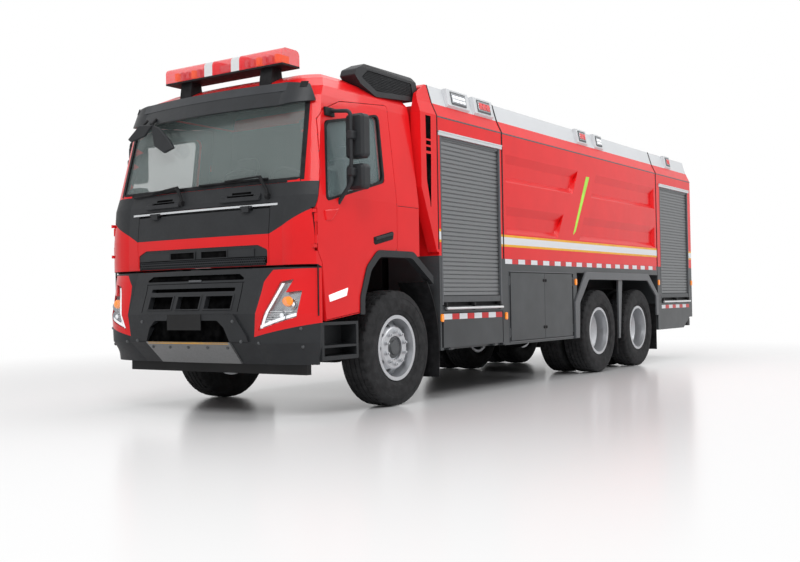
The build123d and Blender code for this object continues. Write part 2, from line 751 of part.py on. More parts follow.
def steering_wheel():
    """Rim, hub and three spokes square to the column."""
    plane = Plane(origin=COLUMN_TOP, x_dir=(1, 0, 0), z_dir=COLUMN_DIRECTION)
    ring = Pos(0, 0, 40) * Torus(215, 15)
    hub = Pos(0, 0, 28) * Cylinder(45, 55)
    wheel = ring + hub
    for angle in (90, 210, 330):
        wheel = wheel + Pos(0, 0, 38) * Rot(0, 0, angle) * Pos(120, 0, 0) * Box(200, 34, 12)
    socket = Cylinder(14, 60)
    return plane * (wheel - socket)


def seat(x):
    """A cushion with a raised back on a pedestal."""
    base = FLOOR_BOTTOM + 100 + CAB_WALL + 0.3
    form = outline([(-380, base), (-400, 1640), (-570, 1660), (-580, 1760, 30), (-180, 1730),
                    (-60, 2420, 40), (70, 2420, 40), (0, 1640), (-60, base)])
    return side_prism(form, (x - SEAT_HALF, x + SEAT_HALF))


def light_bar():
    """Thin base on two feet, and a row of lens blocks."""
    y = (-1050, -815)
    half = LIGHT_BAR_HALF
    floor = 3074
    base = box((-half, half), y, (3058, floor))
    for x in (-500, 500):
        foot = side_prism(Polygon((-1000, 3060), (-880, 3060), (-850, 2860), (-1030, 2860)),
                          (x - 70, x + 70))
        base = base + foot
    base = base - cab_loft(-PANEL_SEAM)
    lenses = []
    edges = [-half, -0.3 * half, -0.16 * half, 0.16 * half, 0.3 * half, half]
    for a, b in zip(edges, edges[1:]):
        lens = box((a + 0.5, b - 0.5), y, (floor, 3213))
        lens = fillet(lens.edges().filter_by(Axis.X).group_by(Axis.Z)[-1], 50)
        lenses.append(lens)
    return [base] + lenses


def air_intake():
    """Tall intake on the rear left corner of the cab roof, with a sunk panel for its mesh."""
    inner = 955
    outer = 1125
    form = outline([(-525, 3005, 15), (-440, 2935), (-200, 2852), (440, 2905), (505, 2965, 30),
                    (450, 3142, 40), (-340, 3138, 60), (-500, 3065, 40)])
    across = Polygon((inner, 2800), (outer, 2800), (outer, 3092), (outer - 45, 3150), (inner, 3150))
    block = side_prism(form, (inner, outer)) & front_prism(across, (-600, 600))
    mesh = outline([(-425, 2998, 15), (-190, 2905, 20), (415, 2948, 20), (385, 3070, 20),
                    (-330, 3075, 20)])
    block = block - side_prism(mesh, (outer - 12, outer + 5))
    return block - cab_loft(-PANEL_SEAM)


def save_cab():
    save("cab_shell", *cab_panels())
    save("cab_roof", cab_roof())
    trims = both(arch_trim())
    save("cab_trim", cowl(), sun_visor(), *trims)
    save("windscreen", windscreen())
    save("light_bar", *light_bar())
    save("air_intake", air_intake())
    save("dashboard", dashboard())
    save("steering_wheel", steering_wheel())
    save("seats", seat(640), seat(-640))
    save("front_lid", lid_red())
    save("lid_panel", *lid_dark())
    left = cab_door()
    save("door_left", left)
    save("door_right", mirrored(left))
    glass = door_glass()
    save("door_glass_left", glass)
    save("door_glass_right", mirrored(glass))
    mirrors = mirror_set()
    save("mirrors_left", mirrors)
    save("mirrors_right", mirrored(mirrors))


# Front bumper, grille and lamps


@cache
def bumper_loft(inset):
    sections = []
    for z, half, front in BUMPER_STATIONS:
        back = BUMPER_BACK if inset <= 0 else BUMPER_BACK + 300
        sections.append(bowed_section(z, half - inset, front + inset, back, 36, 480,
                                      -front - 36 + BUMPER_BACK - 25))
    return loft(sections, ruled=True)


def bumper_skin():
    return bumper_loft(0) - bumper_loft(BUMPER_WALL)


def cover_region():
    return front_prism(outline(COVER_OUTLINE), (-1700, -900))


def lamp_region():
    return front_prism(outline(LAMP_OUTLINE), (-1700, -900))


def bumper():
    """Dark bumper with grille openings, a proud frame round a deep recess, a plate holder and brackets."""
    skin = bumper_skin()
    region = cover_region()
    skin = skin - region - mirrored(region)
    frame_form = outline([(-705, 652), (-690, 700, 30), (-560, 884, 40), (560, 884, 40), (690, 700, 30),
                          (705, 652)])
    proud = (bumper_loft(-FRAME_PROUD) - bumper_loft(1)) & front_prism(frame_form, (-1700, -1250))
    skin = skin + (proud - region - mirrored(region))
    for x in ((-505, -203), (-138, 138), (203, 505)):
        window = outline([(x[0], 930, 15), (x[0], 1042, 15), (x[1], 1042, 15), (x[1], 930, 15)])
        skin = skin - front_prism(window, (-1700, -1200))
    slot = outline([(-510, 1080, 10), (-510, 1112, 10), (510, 1112, 10), (510, 1080, 10)])
    skin = skin - front_prism(slot, (-1700, -1200))
    ledge = outline([(-615, 1176, 10), (-530, 1226, 10), (530, 1226, 10), (615, 1176, 10)])
    skin = skin - (front_prism(ledge, (-1700, -1200)) - bumper_loft(20))
    recess = outline([(-508, 600), (-508, 650), (-453, 770, 30), (-382, 832, 40), (382, 832, 40),
                      (453, 770, 30), (508, 650), (508, 600)])
    hollow = front_prism(recess, (-1700, -1200)) - bumper_loft(BUMPER_WALL - 12)
    skin = skin - (hollow & box((-600, 600), (-1700, -1200), (650, 900)))
    plate = box((-205, 205), (-FRONT_OVERHANG, -FRONT_OVERHANG + 8), (750, 886))
    stem = box((-150, 150), (-FRONT_OVERHANG + 4, -FRONT_OVERHANG + 60), (845, 875))
    bracket = box((RAIL_SPREAD / 2 - RAIL_FLANGE, RAIL_SPREAD / 2), (-1550, RAIL_FRONT), (745, 860))
    bracket = bracket & bumper_loft(BUMPER_WALL - 5)
    return join(skin, plate, stem, bracket, mirrored(bracket))


def underrun_bar():
    """Low bar under the bumper, hung from the rails."""
    bar = box((-1077, 1077), (-1200, -1140), (363, 455))
    for side in (-1, 1):
        x = sorted((side * (RAIL_SPREAD / 2 - RAIL_FLANGE), side * RAIL_SPREAD / 2))
        bar = bar + box(x, (-1200, -1140), (400, RAIL_BOTTOM))
    return bar


def skid_plate():
    """Bright plate under the recess, with a turned-back top edge."""
    plate = bumper_loft(-FRAME_PROUD) - bumper_loft(-PANEL_SEAM)
    face = outline([(-484, 457), (-511, 645), (511, 645), (484, 457)])
    return plate & front_prism(face, (-1700, -1250))


def headlamp_cover():
    return (bumper_skin() & cover_region()) - lamp_region()


def headlamp():
    skin = bumper_loft(10) - bumper_loft(BUMPER_WALL - 4)
    return skin & lamp_region()


def cab_step():
    """Open step box under the left door, behind the bumper corner."""
    block = box((985, CAB_HALF - 4), (BUMPER_BACK, -690), (485, 806))
    well = box((1075, CAB_HALF + 50), (-1165, -720), (610, 780))
    lower = box((1075, CAB_HALF + 50), (-1165, -720), (520, 590))
    return block - well - lower


def save_front():
    save("bumper", bumper(), underrun_bar())
    save("skid_plate", skid_plate())
    save("headlamp_covers", *both(headlamp_cover()))
    save("headlamps", *both(headlamp()))
    save("cab_steps", *both(cab_step()))


# Body modules

def module_section():
    """Front view of a body module: upright sides, leaning shoulders, a keel down to the subframe."""
    top = SIDE - SHOULDER_IN
    return Polygon((SIDE, TANK_BOTTOM), (SIDE, SIDE_TOP), (top, SHOULDER_TOP), (-top, SHOULDER_TOP),
                   (-SIDE, SIDE_TOP), (-SIDE, TANK_BOTTOM), (-KEEL_HALF, TANK_BOTTOM),
                   (-KEEL_HALF, SUBFRAME_TOP), (KEEL_HALF, SUBFRAME_TOP), (KEEL_HALF, TANK_BOTTOM))


def shutter_room(y):
    """Recess in a module's left side for a roller shutter."""
    return box((SIDE - 70, SIDE + 50), y, (SHUTTER_BOTTOM - 40, SHUTTER_TOP))


def shutter_limits(start, end):
    return (start + SHUTTER_MARGIN, end - SHUTTER_MARGIN)


FRONT_SHUTTER = shutter_limits(BODY_FRONT, SEAM_1)
REAR_SHUTTER = shutter_limits(SEAM_2 + 110, BODY_REAR - 85)


def fairing():
    """Red corner panel that closes the gap between cab and body on the left side."""
    form = outline([(BODY_FRONT, TANK_BOTTOM + 35), (610, TANK_BOTTOM + 35), (350, 2060), (342, 2790),
                    (400, 2980), (600, COVE_TOP), (BODY_FRONT, COVE_TOP)])
    panel = side_prism(form, (SIDE - FAIRING_DEPTH, SIDE))
    lean = front_prism(Polygon((SIDE + 80, SIDE_TOP), (SIDE, SIDE_TOP),
                               (SIDE - SHOULDER_IN, SHOULDER_TOP), (SIDE - COVE_IN, COVE_TOP),
                               (SIDE + 80, COVE_TOP)), (0, 1000))
    upper = side_prism(form, (SIDE - 220, SIDE)) & box((0, 1400), (540, 1000), (SIDE_TOP, 3200))
    panel = (panel + upper) - lean
    for low, high, foot in ((2540, 2760, 60), (2480, 2515, 60), (2420, 2455, 60), (1880, 2390, 8)):
        slit = outline([(512 - foot, low), (462, high), (526, high), (512, low)])
        panel = panel - side_prism(slit, (SIDE - 40, SIDE + 20))
    return panel


def front_module():
    block = front_prism(module_section(), (BODY_FRONT, SEAM_1))
    room = shutter_room(FRONT_SHUTTER)
    block = block - room - mirrored(room)
    panel = fairing()
    return join(block, panel, mirrored(panel))


def rear_module():
    block = front_prism(module_section(), (SEAM_2 + MODULE_GAP, BODY_REAR))
    room = shutter_room(REAR_SHUTTER)
    block = block - room - mirrored(room)
    tail = box((-TAIL_SHUTTER_HALF, TAIL_SHUTTER_HALF), (BODY_REAR - 70, BODY_REAR + 50),
               (SUBFRAME_TOP + 40, SHUTTER_TOP))
    block = block - tail
    return block


def pressing(start, end, low, high, lean_start, lean_end):
    """A shallow pan pressed into the tank's left side, with sloped edges."""
    rise = high - low
    left_top = start + (RIDGE_LEAN * rise if lean_start else 0)
    right_top = end + (RIDGE_LEAN * rise if lean_end else 0)
    mouth = Polygon((start, low), (left_top, high), (right_top, high), (end, low))
    margin = PRESS_SLOPE
    floor = Polygon((start + margin, low + 2 * margin), (left_top + margin, high - 3 * margin),
                    (right_top - margin, high - 3 * margin), (end - margin, low + 2 * margin))
    return loft([Pos(SIDE, 0, 0) * (Plane.YZ * mouth),
                 Pos(SIDE - PRESS_DEPTH, 0, 0) * (Plane.YZ * floor)], ruled=True)


def tank_module():
    """Tank body with four pressed pans a side and a leaning rib between them."""
    block = front_prism(module_section(), (SEAM_1 + MODULE_GAP, SEAM_2))
    first = SEAM_1 + 85
    last = SEAM_2 - 75
    split = SEAM_1 + 0.39 * (SEAM_2 - SEAM_1)
    pans = [
        pressing(first, split - 20, 2250, 2555, False, True),
        pressing(split + 540, last, 2250, 2555, True, False),
        pressing(first, split - 460, 1690, 1985, False, True),
        pressing(split + 150, last, 1690, 1985, True, False),
    ]
    for pan in pans:
        block = block - pan - mirrored(pan)
    walkway = box((-WALKWAY_HALF, WALKWAY_HALF), (SEAM_1 + 1900, SEAM_2 - 150),
                  (SHOULDER_TOP - 5, SHOULDER_TOP + 12))
    return block + walkway


def cove(y):
    """White leaning side of the roof tray."""
    foot = SIDE - SHOULDER_IN
    crest = SIDE - COVE_IN
    section = Polygon((foot, SHOULDER_TOP), (crest, COVE_TOP), (crest - 60, COVE_TOP),
                      (crest - 60, SHOULDER_TOP))
    return front_prism(section, y)


def roof_deck():
    """White coves both sides and a monitor riser on the deck."""
    spans = [(BODY_FRONT, SEAM_1), (SEAM_1 + MODULE_GAP, SEAM_2), (SEAM_2 + MODULE_GAP, BODY_REAR)]
    parts = []
    for span in spans:
        parts.extend(both(cove(span)))
    riser = join(
        Pos(MONITOR[0], MONITOR[1], SHOULDER_TOP + 15) * Cylinder(150, 30),
        Pos(MONITOR[0], MONITOR[1], SHOULDER_TOP + 90) * Cylinder(70, 180),
    )
    parts.append(riser)
    return parts


def monitor_swivel():
    """Turning head of the monitor: a collar, an upright elbow and a fork."""
    x, y = MONITOR
    z = MONITOR_Z + RUNNING_GAP
    collar = Pos(x, y, z + 30) * Cylinder(85, 60)
    neck = Pos(x, y, z + 75) * Cylinder(60, 40)
    base = box((x - 110, x + 110), (y - 60, y + 60), (z + 90, z + 110))
    cheeks = [box((x + a, x + a + 25), (y - 60, y + 60), (z + 90, z + 230)) for a in (-110, 85)]
    pin = rod((x - 100, y, z + 185), (x + 100, y, z + 185), 20)
    return join(collar, neck, base, *cheeks, pin)


def monitor_barrel():
    """Barrel with a tapering nozzle, lying backwards at rest."""
    x, y = MONITOR
    z = MONITOR_Z + RUNNING_GAP + 185
    block = rod((x - 84, y, z), (x + 84, y, z), 55)
    tube = rod((x, y, z), (x, y + 620, z), 48)
    taper = Plane(origin=(x, y + 620, z), z_dir=(0, 1, 0)) * Pos(0, 0, 130) * Cone(48, 34, 260)
    lip = rod((x, y + 870, z), (x, y + 920, z), 52)
    bore = rod((x - 120, y, z), (x + 120, y, z), 20 + PIN_GAP)
    return join(block, tube, taper, lip) - bore


# Roller shutters

def slat_curtain(low, high, face, thickness):
    """Front view (depth, height) of a slatted curtain made by one loop."""
    count = int((high - low) / SLAT_PITCH)
    pitch = (high - low) / count
    points = []
    for i in range(count):
        base = low + i * pitch
        points.append((face - 8, base))
        points.append((face, base + 0.2 * pitch))
        points.append((face, base + 0.8 * pitch))
    points.append((face - 8, high))
    points.append((face - thickness, high))
    points.append((face - thickness, low))
    return Polygon(*points)


def side_shutter(y):
    """Slatted curtain in the left side with its bottom rail."""
    curtain = front_prism(slat_curtain(SHUTTER_BOTTOM + 60, SHUTTER_TOP, SIDE - 18, 52), y)
    rail = box((SIDE - 70, SIDE - 4), y, (SHUTTER_BOTTOM, SHUTTER_BOTTOM + 60))
    return curtain + rail


def grab_bar(y):
    """Round bar on short brackets below a shutter."""
    z = SHUTTER_BOTTOM - 62
    x = SIDE + 26
    bar = rod((x, y[0] + 30, z), (x, y[1] - 30, z), 13)
    middle = (y[0] + y[1]) / 2
    for spot in (y[0] + 60, middle, y[1] - 60):
        bar = bar + rod((SIDE, spot, z), (x, spot, z), 9)
    return bar


def tail_shutter():
    half = TAIL_SHUTTER_HALF
    face = slat_curtain(SUBFRAME_TOP + 40, SHUTTER_TOP, BODY_REAR - 18, 52)
    return side_prism(face, (-half, half))


def save_body():
    save("body_front", front_module())
    save("body_tank", tank_module())
    save("body_rear", rear_module())
    save("roof_deck", *roof_deck())
    save("monitor_swivel", monitor_swivel())
    save("monitor_barrel", monitor_barrel())
    curtains = both(side_shutter(FRONT_SHUTTER)) + both(side_shutter(REAR_SHUTTER)) + [tail_shutter()]
    bars = both(grab_bar(FRONT_SHUTTER)) + both(grab_bar(REAR_SHUTTER))
    save("shutters", *curtains, *bars)


# Lower body with lockers, flaps and doors


def flap_lugs(y):
    """Body side of one flap hinge."""
    z = FLAP_HINGE_Z
    pin = rod((HINGE_X, y - 50, z), (HINGE_X, y + 50, z), HINGE_PIN)
    lugs = []
    for a in (y - 50, y + KNUCKLE_HALF + 2):
        lugs.append(box((SIDE - 60, HINGE_X + 6), (a, a + 18), (z - 9, z + 10)))
    return join(pin, *lugs)


def door_lugs(y, z, back):
    """Body side of one locker door hinge; back is the side of the body away from the door."""
    pin = rod((HINGE_X, y, z - 50), (HINGE_X, y, z + 50), HINGE_PIN)
    reach = sorted((y - back * 4, y + back * 26))
    lugs = []
    for a in (z - 50, z + KNUCKLE_HALF + 2):
        lugs.append(box((HINGE_X - 8, HINGE_X + 8), reach, (a, a + 18)))
    return join(pin, *lugs)


def lower_body():
    """Left lower side: flap bay, locker bay, band over the arch and rear skirt."""
    inner = LOCKER_INNER_X
    wall = LOCKER_WALL
    bay = box((inner, SIDE), (BODY_FRONT, SEAM_1), (SKIRT_BOTTOM, FLAP_TOP))
    bay = bay - box((inner + wall, SIDE + 60), (BODY_FRONT + wall, SEAM_1 - wall),
                    (SKIRT_BOTTOM + wall, FLAP_TOP - wall))
    bay = bay - box((SIDE - 45, SIDE + 60), (FLAP_SPAN[0] - DOOR_CLEAR, FLAP_SPAN[1] + DOOR_CLEAR),
                    (SKIRT_BOTTOM - 20, FLAP_TOP - 20))
    for y in FLAP_HINGES:
        bay = bay + flap_lugs(y)
    locker = box((inner, SIDE), (SEAM_1, LOCKER_END), (SKIRT_BOTTOM - 8, TANK_BOTTOM))
    locker = locker - box((inner + wall, SIDE - wall), (SEAM_1 + wall, LOCKER_END - wall),
                          (SKIRT_BOTTOM + wall, TANK_BOTTOM - wall))
    edge = 22
    locker = locker - box((SIDE - 45, SIDE + 60), (DOOR_FIRST - edge, DOOR_LAST + edge),
                          (LOCKER_LOW - DOOR_CLEAR, LOCKER_HIGH + DOOR_CLEAR))
    locker = locker - box((SIDE - 200, SIDE + 60), (DOOR_FIRST + 10, DOOR_LAST - 10),
                          (LOCKER_LOW + 10, LOCKER_HIGH - 10))
    for z in DOOR_HINGES:
        locker = locker + door_lugs(DOOR_FIRST, z, -1) + door_lugs(DOOR_LAST, z, 1)
    band = box((SIDE - 60, SIDE), (LOCKER_END, SEAM_2), (LOCKER_HIGH + 20, TANK_BOTTOM))
    upper = box((inner, SIDE), (BODY_FRONT, SEAM_1),
                (FLAP_TOP, TANK_BOTTOM)) - shutter_room(FRONT_SHUTTER)
    start = SEAM_2 + MODULE_GAP
    skirt = outline([(start, TANK_BOTTOM), (start, SKIRT_BOTTOM), (BODY_REAR - 420, SKIRT_BOTTOM),
                     (BODY_REAR - 130, 640), (BODY_REAR, 640), (BODY_REAR, TANK_BOTTOM)])
    rear = side_prism(skirt, (inner, SIDE)) - shutter_room(REAR_SHUTTER)
    return [join(bay, upper, locker, band), rear]


def flap():
    """Step flap hinged along its bottom edge."""
    z = FLAP_HINGE_Z
    plate = box((SIDE - PANEL_THICKNESS, SIDE), FLAP_SPAN, (z + HINGE_SET, FLAP_TOP - 26))
    for y in FLAP_HINGES:
        span = (y - KNUCKLE_HALF, y + KNUCKLE_HALF)
        barrel = rod((HINGE_X, span[0], z), (HINGE_X, span[1], z), HINGE_RADIUS)
        neck = box((HINGE_X - 8, HINGE_X + 8), span, (z, z + HINGE_SET + 2))
        bore = rod((HINGE_X, span[0] - 5, z), (HINGE_X, span[1] + 5, z), HINGE_PIN + PIN_GAP)
        plate = join(plate, barrel, neck) - bore
    return plate


def locker_door(hinge_y, free_y):
    """Locker door hinged along one upright edge."""
    way = 1 if free_y > hinge_y else -1
    y = sorted((hinge_y + way * HINGE_SET, free_y))
    plate = box((SIDE - PANEL_THICKNESS, SIDE), y, (LOCKER_LOW, LOCKER_HIGH))
    for z in DOOR_HINGES:
        span = (z - KNUCKLE_HALF, z + KNUCKLE_HALF)
        barrel = rod((HINGE_X, hinge_y, span[0]), (HINGE_X, hinge_y, span[1]), HINGE_RADIUS)
        neck = box((HINGE_X - 8, HINGE_X + 8), sorted((hinge_y, hinge_y + way * (HINGE_SET + 2))), span)
        bore = rod((HINGE_X, hinge_y, span[0] - 5), (HINGE_X, hinge_y, span[1] + 5), HINGE_PIN + PIN_GAP)
        plate = join(plate, barrel, neck) - bore
    return plate


def save_lower_body():
    left = lower_body()
    save("lower_body", *left, *[mirrored(s) for s in left])
    plate = flap()
    save("flap_left", plate)
    save("flap_right", mirrored(plate))
    front_door = locker_door(DOOR_FIRST, DOOR_SPLIT - DOOR_CLEAR / 2)
    rear_door = locker_door(DOOR_LAST, DOOR_SPLIT + DOOR_CLEAR / 2)
    save("locker_front_left", front_door)
    save("locker_front_right", mirrored(front_door))
    save("locker_rear_left", rear_door)
    save("locker_rear_right", mirrored(rear_door))


# Arches, mudguards, lamps and the back

def rear_arch():
    """Broad lip over the left rear wheels with a leg at each end, and a bracket hung between the wheels."""
    front = ARCH_START - 108
    rear = ARCH_END - 30
    top = LOCKER_HIGH + 34
    under = top - 98
    form = outline([(front, SKIRT_BOTTOM - 6), (front, 905), (ARCH_START + 220, top, 90),
                    (ARCH_END - 430, top, 90), (rear, 1000), (rear, 700), (rear - 90, 700),
                    (rear - 100, 975), (ARCH_END - 470, under, 60), (ARCH_START + 320, under, 60),
                    (ARCH_START + 38, 909), (ARCH_START + 12, SKIRT_BOTTOM - 6)])
    lip = side_prism(form, (SIDE + PANEL_SEAM, SIDE + 22))
    edge = lip.faces().sort_by(Axis.X)[-1]
    lip = fillet(edge.edges(), 9)
    middle = (AXLE_2 + AXLE_3) / 2
    drop = Polygon((middle - 70, under + 40), (middle + 70, under + 40), (middle - 23, 420),
                   (middle - 75, 420))
    bracket = side_prism(drop, (SIDE - 38, SIDE - 12))
    tie = box((SIDE - 38, SIDE + 10), (middle - 60, middle + 60), (under + 10, under + 40))
    return join(lip, bracket, tie - lip_room())


def lip_room():
    """The band over the arch, grown a hair, which the bracket's tie must not enter."""
    return box((SIDE - 60 - PANEL_SEAM, SIDE + PANEL_SEAM), (LOCKER_END, SEAM_2),
               (LOCKER_HIGH + 20 - PANEL_SEAM, TANK_BOTTOM))


def front_mudguard():
    """Curved guard behind the left front wheel with a hanging flap."""
    thick = 8
    back = BODY_FRONT - 12
    x = (900, SIDE - 10)
    edges = [
        ThreePointArc((back, 560), (back - 48, 860), (432, 1159)),
        Line((432, 1159), (425, 1153)),
        ThreePointArc((425, 1153), (back - 48 - thick, 856), (back - thick, 560)),
        Line((back - thick, 560), (back, 560)),
    ]
    guard = side_prism(make_face(edges), x)
    hang = box(x, (back - thick, back), (223, 560))
    level = RAIL_BOTTOM + 40
    stay = rod((RAIL_SPREAD / 2 + PANEL_SEAM, back - 24, level), (950, back - 24, level), 14)
    return join(guard, hang, stay)


def rear_mudflap(y):
    """Hanging rubber flap behind a rear axle, on a stay from the rail."""
    sheet = box((TWIN_MIDDLE_X - 330, TWIN_MIDDLE_X + 330), (y, y + 12), (200, 860))
    stay = rod((RAIL_SPREAD / 2, y + 6, 850), (TWIN_MIDDLE_X + 320, y + 6, 850), 16)
    return sheet + stay


def marker_lamps():
    """Small side lamps along the left side."""
    spots = [(BODY_FRONT + 28, 798), (SEAM_1 + 36, 790), (LOCKER_END - 44, 1167), (SEAM_2 + 45, 1174),
             (BODY_REAR - 32, 1174)]
    lamps = []
    for y, z in spots:
        form = Pos(y, z) * SlotOverall(78, 40, 90)
        lamps.append(side_prism(form, (SIDE, SIDE + 16)))
    return lamps


def roof_lamp(y):
    """Lamp housing leaning on the left cove."""
    foot = SIDE - SHOULDER_IN
    crest = SIDE - COVE_IN
    section = Polygon((foot, SHOULDER_TOP), (foot + 24, SHOULDER_TOP + 22), (foot - 6, COVE_TOP + 6),
                      (crest, COVE_TOP + 6), (crest, COVE_TOP))
    return front_prism(section, y)


def tail_lamp():
    return box((940, 1180), (BODY_REAR, BODY_REAR + 45), (900, 1010))


def rear_bumper():
    """Low bar across the back on two arms from the rails."""
    bar = box((-1180, 1180), (REAR_END - 110, REAR_END), (500, 620))
    bar = fillet(bar.edges().filter_by(Axis.X), 12)
    for side in (-1, 1):
        x = sorted((side * (RAIL_SPREAD / 2 - RAIL_FLANGE), side * RAIL_SPREAD / 2))
        bar = bar + box(x, (RAIL_REAR - 150, REAR_END - 60), (560, RAIL_BOTTOM))
    return bar


def ladder():
    """Ladder up the back on the right, with hooked rails."""
    y = BODY_REAR + 55
    total = None
    for x in (-1130, -790):
        leg = rod((x, y, 1060), (x, y, 3000), 17)
        for z in (1120, 2060, 2700):
            leg = leg + rod((x, BODY_REAR, z), (x, y, z), 12)
        total = leg if total is None else total + leg
    for i in range(7):
        z = 1150 + i * 280
        total = total + rod((-1130, y, z), (-790, y, z), 14)
    return total


def save_rest():
    save("arch_trims", *both(rear_arch()))
    flaps = both(rear_mudflap(AXLE_2 + 556)) + both(rear_mudflap(AXLE_3 + 660))
    save("mudguards", *both(front_mudguard()), *flaps)
    housings = [roof_lamp((y, y + length)) for y, length in ROOF_LAMPS]
    lamps = housings + marker_lamps() + [tail_lamp()]
    save("lamps", *lamps, *[mirrored(lamp) for lamp in lamps])
    save("rear_bumper", rear_bumper())
    save("ladder", ladder())


save_wheels()
save_chassis()
save_cab()
save_front()
save_body()
save_lower_body()
save_rest()
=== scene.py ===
import bmesh
import bpy
import math
from mathutils import Matrix, Vector


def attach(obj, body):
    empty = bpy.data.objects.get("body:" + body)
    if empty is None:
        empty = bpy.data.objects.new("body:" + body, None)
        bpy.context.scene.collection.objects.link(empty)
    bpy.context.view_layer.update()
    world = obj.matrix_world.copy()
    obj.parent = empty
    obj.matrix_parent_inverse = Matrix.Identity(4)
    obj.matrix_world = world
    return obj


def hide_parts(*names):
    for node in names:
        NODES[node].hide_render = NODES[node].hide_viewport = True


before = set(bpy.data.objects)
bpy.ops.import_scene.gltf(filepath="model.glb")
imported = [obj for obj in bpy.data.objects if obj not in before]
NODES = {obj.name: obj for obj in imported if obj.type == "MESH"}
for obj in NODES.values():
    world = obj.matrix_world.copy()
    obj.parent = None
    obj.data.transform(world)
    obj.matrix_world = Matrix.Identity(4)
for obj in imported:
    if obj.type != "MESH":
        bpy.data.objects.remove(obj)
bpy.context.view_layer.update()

# Sizes in millimetres, measured from the front axle as in the part's source:
# y runs backwards from the axle, x to the truck's left and z up from the road.
AXLE_TO_MIDDLE = -3367.5
SIDE = 1250
BODY_FRONT = 645
SEAM_1 = 1955
SEAM_2 = 6675
MODULE_GAP = 15
BODY_REAR = 8220
TANK_BOTTOM = 1410
SIDE_TOP = 2787
SHOULDER_TOP = 2915
SHOULDER_IN = 60
COVE_TOP = 3100
COVE_IN = 115
SHUTTER_BOTTOM = 952
SHUTTER_TOP = 2596
FRONT_SHUTTER = (690, 1910)
REAR_SHUTTER = (6830, 8090)
AXLES = (0, 4600, 5970)
AXLE_Z = 538
FRONT_WHEEL_X = 1045
REAR_OUTER_X = 1080
TWIN_SPACING = 350
LIFT = 1.2
SINK = 0.6
BEVEL_ANGLE = 35
SIDES = ("left", "right")

# Skins of the cab, visor and bumper: (height, half width, front) by level, the front's bow and its corners
CAB_LEVELS = [(816, 1245, -1378), (1560, 1245, -1378), (1870, 1245, -1348), (1990, 1232, -1315),
              (2740, 1148, -1160), (2830, 1130, -1108), (2920, 1060, -1028), (2985, 945, -908),
              (3015, 825, -758)]
CAB_BOW = 40
CAB_CORNER = (300, 80)
CAB_BACK = 297
CAB_WALL = 45
CAB_FLOOR = 1295
VISOR_LEVELS = [(2605, 1160, -1330), (2915, 1150, -1200)]
VISOR_BOW = 70
VISOR_CORNER = (320, 190)
BUMPER_LEVELS = [(455, 1215, -1345), (640, 1245, -1522), (886, 1250, -1536), (1080, 1250, -1470),
                 (1190, 1249, -1442), (1268, 1247, -1416)]
BUMPER_BOW = 36
BUMPER_CORNER = 480
BUMPER_CORNER_END = -1220
CORNER_BEND = math.log(0.36) / math.log(0.72)
FRONT_OVERHANG = 1560
FRAME_PROUD = 20
SCREEN_LOW = (1110, 2000)
SCREEN_HIGH = (1060, 2735)
INTAKE_FACE = 1125
LIGHT_BAR_FLOOR = 3074
LIGHT_BAR_HALF = 728

# Tyres and wheels; profiles are (across, radius)
TREAD_SEGMENTS = 144
TREAD_RADIUS = 538
TREAD_HALF = 119
TREAD_DROP = 6
TREAD_GROOVE = 13
SHOULDER_CUT = 10
RIB_CUT = 4
SIDEWALL = [(118, 286.5), (118, 306), (131, 322), (142, 345), (147, 352), (149, 350), (154, 385),
            (157, 412), (156, 440), (153, 462), (155.5, 465), (154, 470), (146, 492), (139, 512),
            (130, 524)]
RIBS = [(-119, -80), (-70, -32), (-22, 22), (32, 70), (80, 119)]
NUT_CIRCLE = 150
NUTS = 10
NUT_PROFILE = [(0, 23), (4, 23), (5, 17), (22, 17), (26, 13), (26, 10), (36, 10), (38, 8), (38, 0.5),
               (0, 0.5)]
REAR_HUB_RADIUS = 205

# Stripes, tape, shutters, lockers and roof lamps
STRIPE = (1543, 1568, 1647, 1672)
STRIPE_SPANS = [(SEAM_1 + MODULE_GAP + 2, SEAM_2 - 2), (BODY_FRONT + 6, FRONT_SHUTTER[0] - 4),
                (FRONT_SHUTTER[1] + 4, SEAM_1 - 2), (REAR_SHUTTER[1] + 4, BODY_REAR - 4)]
SLANTED_STRIPE = [(3764, 1746), (3840, 1790), (4290, 2505), (4190, 2505)]
TAPE_WHITE = 162
TAPE_RED = 144
TAPE_GAP = 4
GUIDE = 22
LATCH_Y = {"front": 2925, "rear": 2980}
ROOF_LAMPS = [(925, 430, "work"), (1465, 400, "strobe"), (4045, 300, "strobe"), (4595, 260, "work"),
              (7235, 230, "strobe")]
DOME_PLACE = (1010, 4480)
TAIL_LENSES_X = (950, 1026, 1102)

# Trim of the cab front and bumper; places are (x, z)
WIPERS = {"wiper_left": ((788, 1878), (690, 2052), (-25, 2046)),
          "wiper_right": ((-212, 1880), (-285, 2030), (-904, 2000))}
HANDLES_X = (-466, 482)
HANDLE_HALF = 222
HEX_RISE = 0.866
CHEEKS = ((-650, -362), (362, 650))
MOUTHS = ((-345, -45), (45, 345))
LOWER_WINDOWS = ((-505, -203), (-138, 138), (203, 505))
PAIRED_BOLTS = [(553, 824, FRAME_PROUD), (634, 655, FRAME_PROUD), (805, 644, 0), (1150, 760, 0),
                (1150, 610, 0)]
SKID_BOLTS_X = (-455, -230, 0, 230, 455)
SKID_BOLTS_Z = 600
BOLT_RINGS = [(2, 17), (-3, 17), (-3, 12), (-10, 12), (-12, 9)]
BOWLS = ((905, 815, 46), (1010, 870, 52), (1085, 960, 44))
TURN_UNIT = (1040, 985)
STRIP_CORNER = (824, 764)
STRIP_TOP = (987, 1136)
STRIP_END = (1126, 866)
MIRROR_WING = [(-943, 2530), (-898, 2502), (-714, 2537), (-601, 2634), (-780, 2648)]
MIRROR_SHIELD = [(-603, 2438), (-472, 2360), (-345, 2396), (-404, 2479), (-534, 2601), (-645, 2648)]

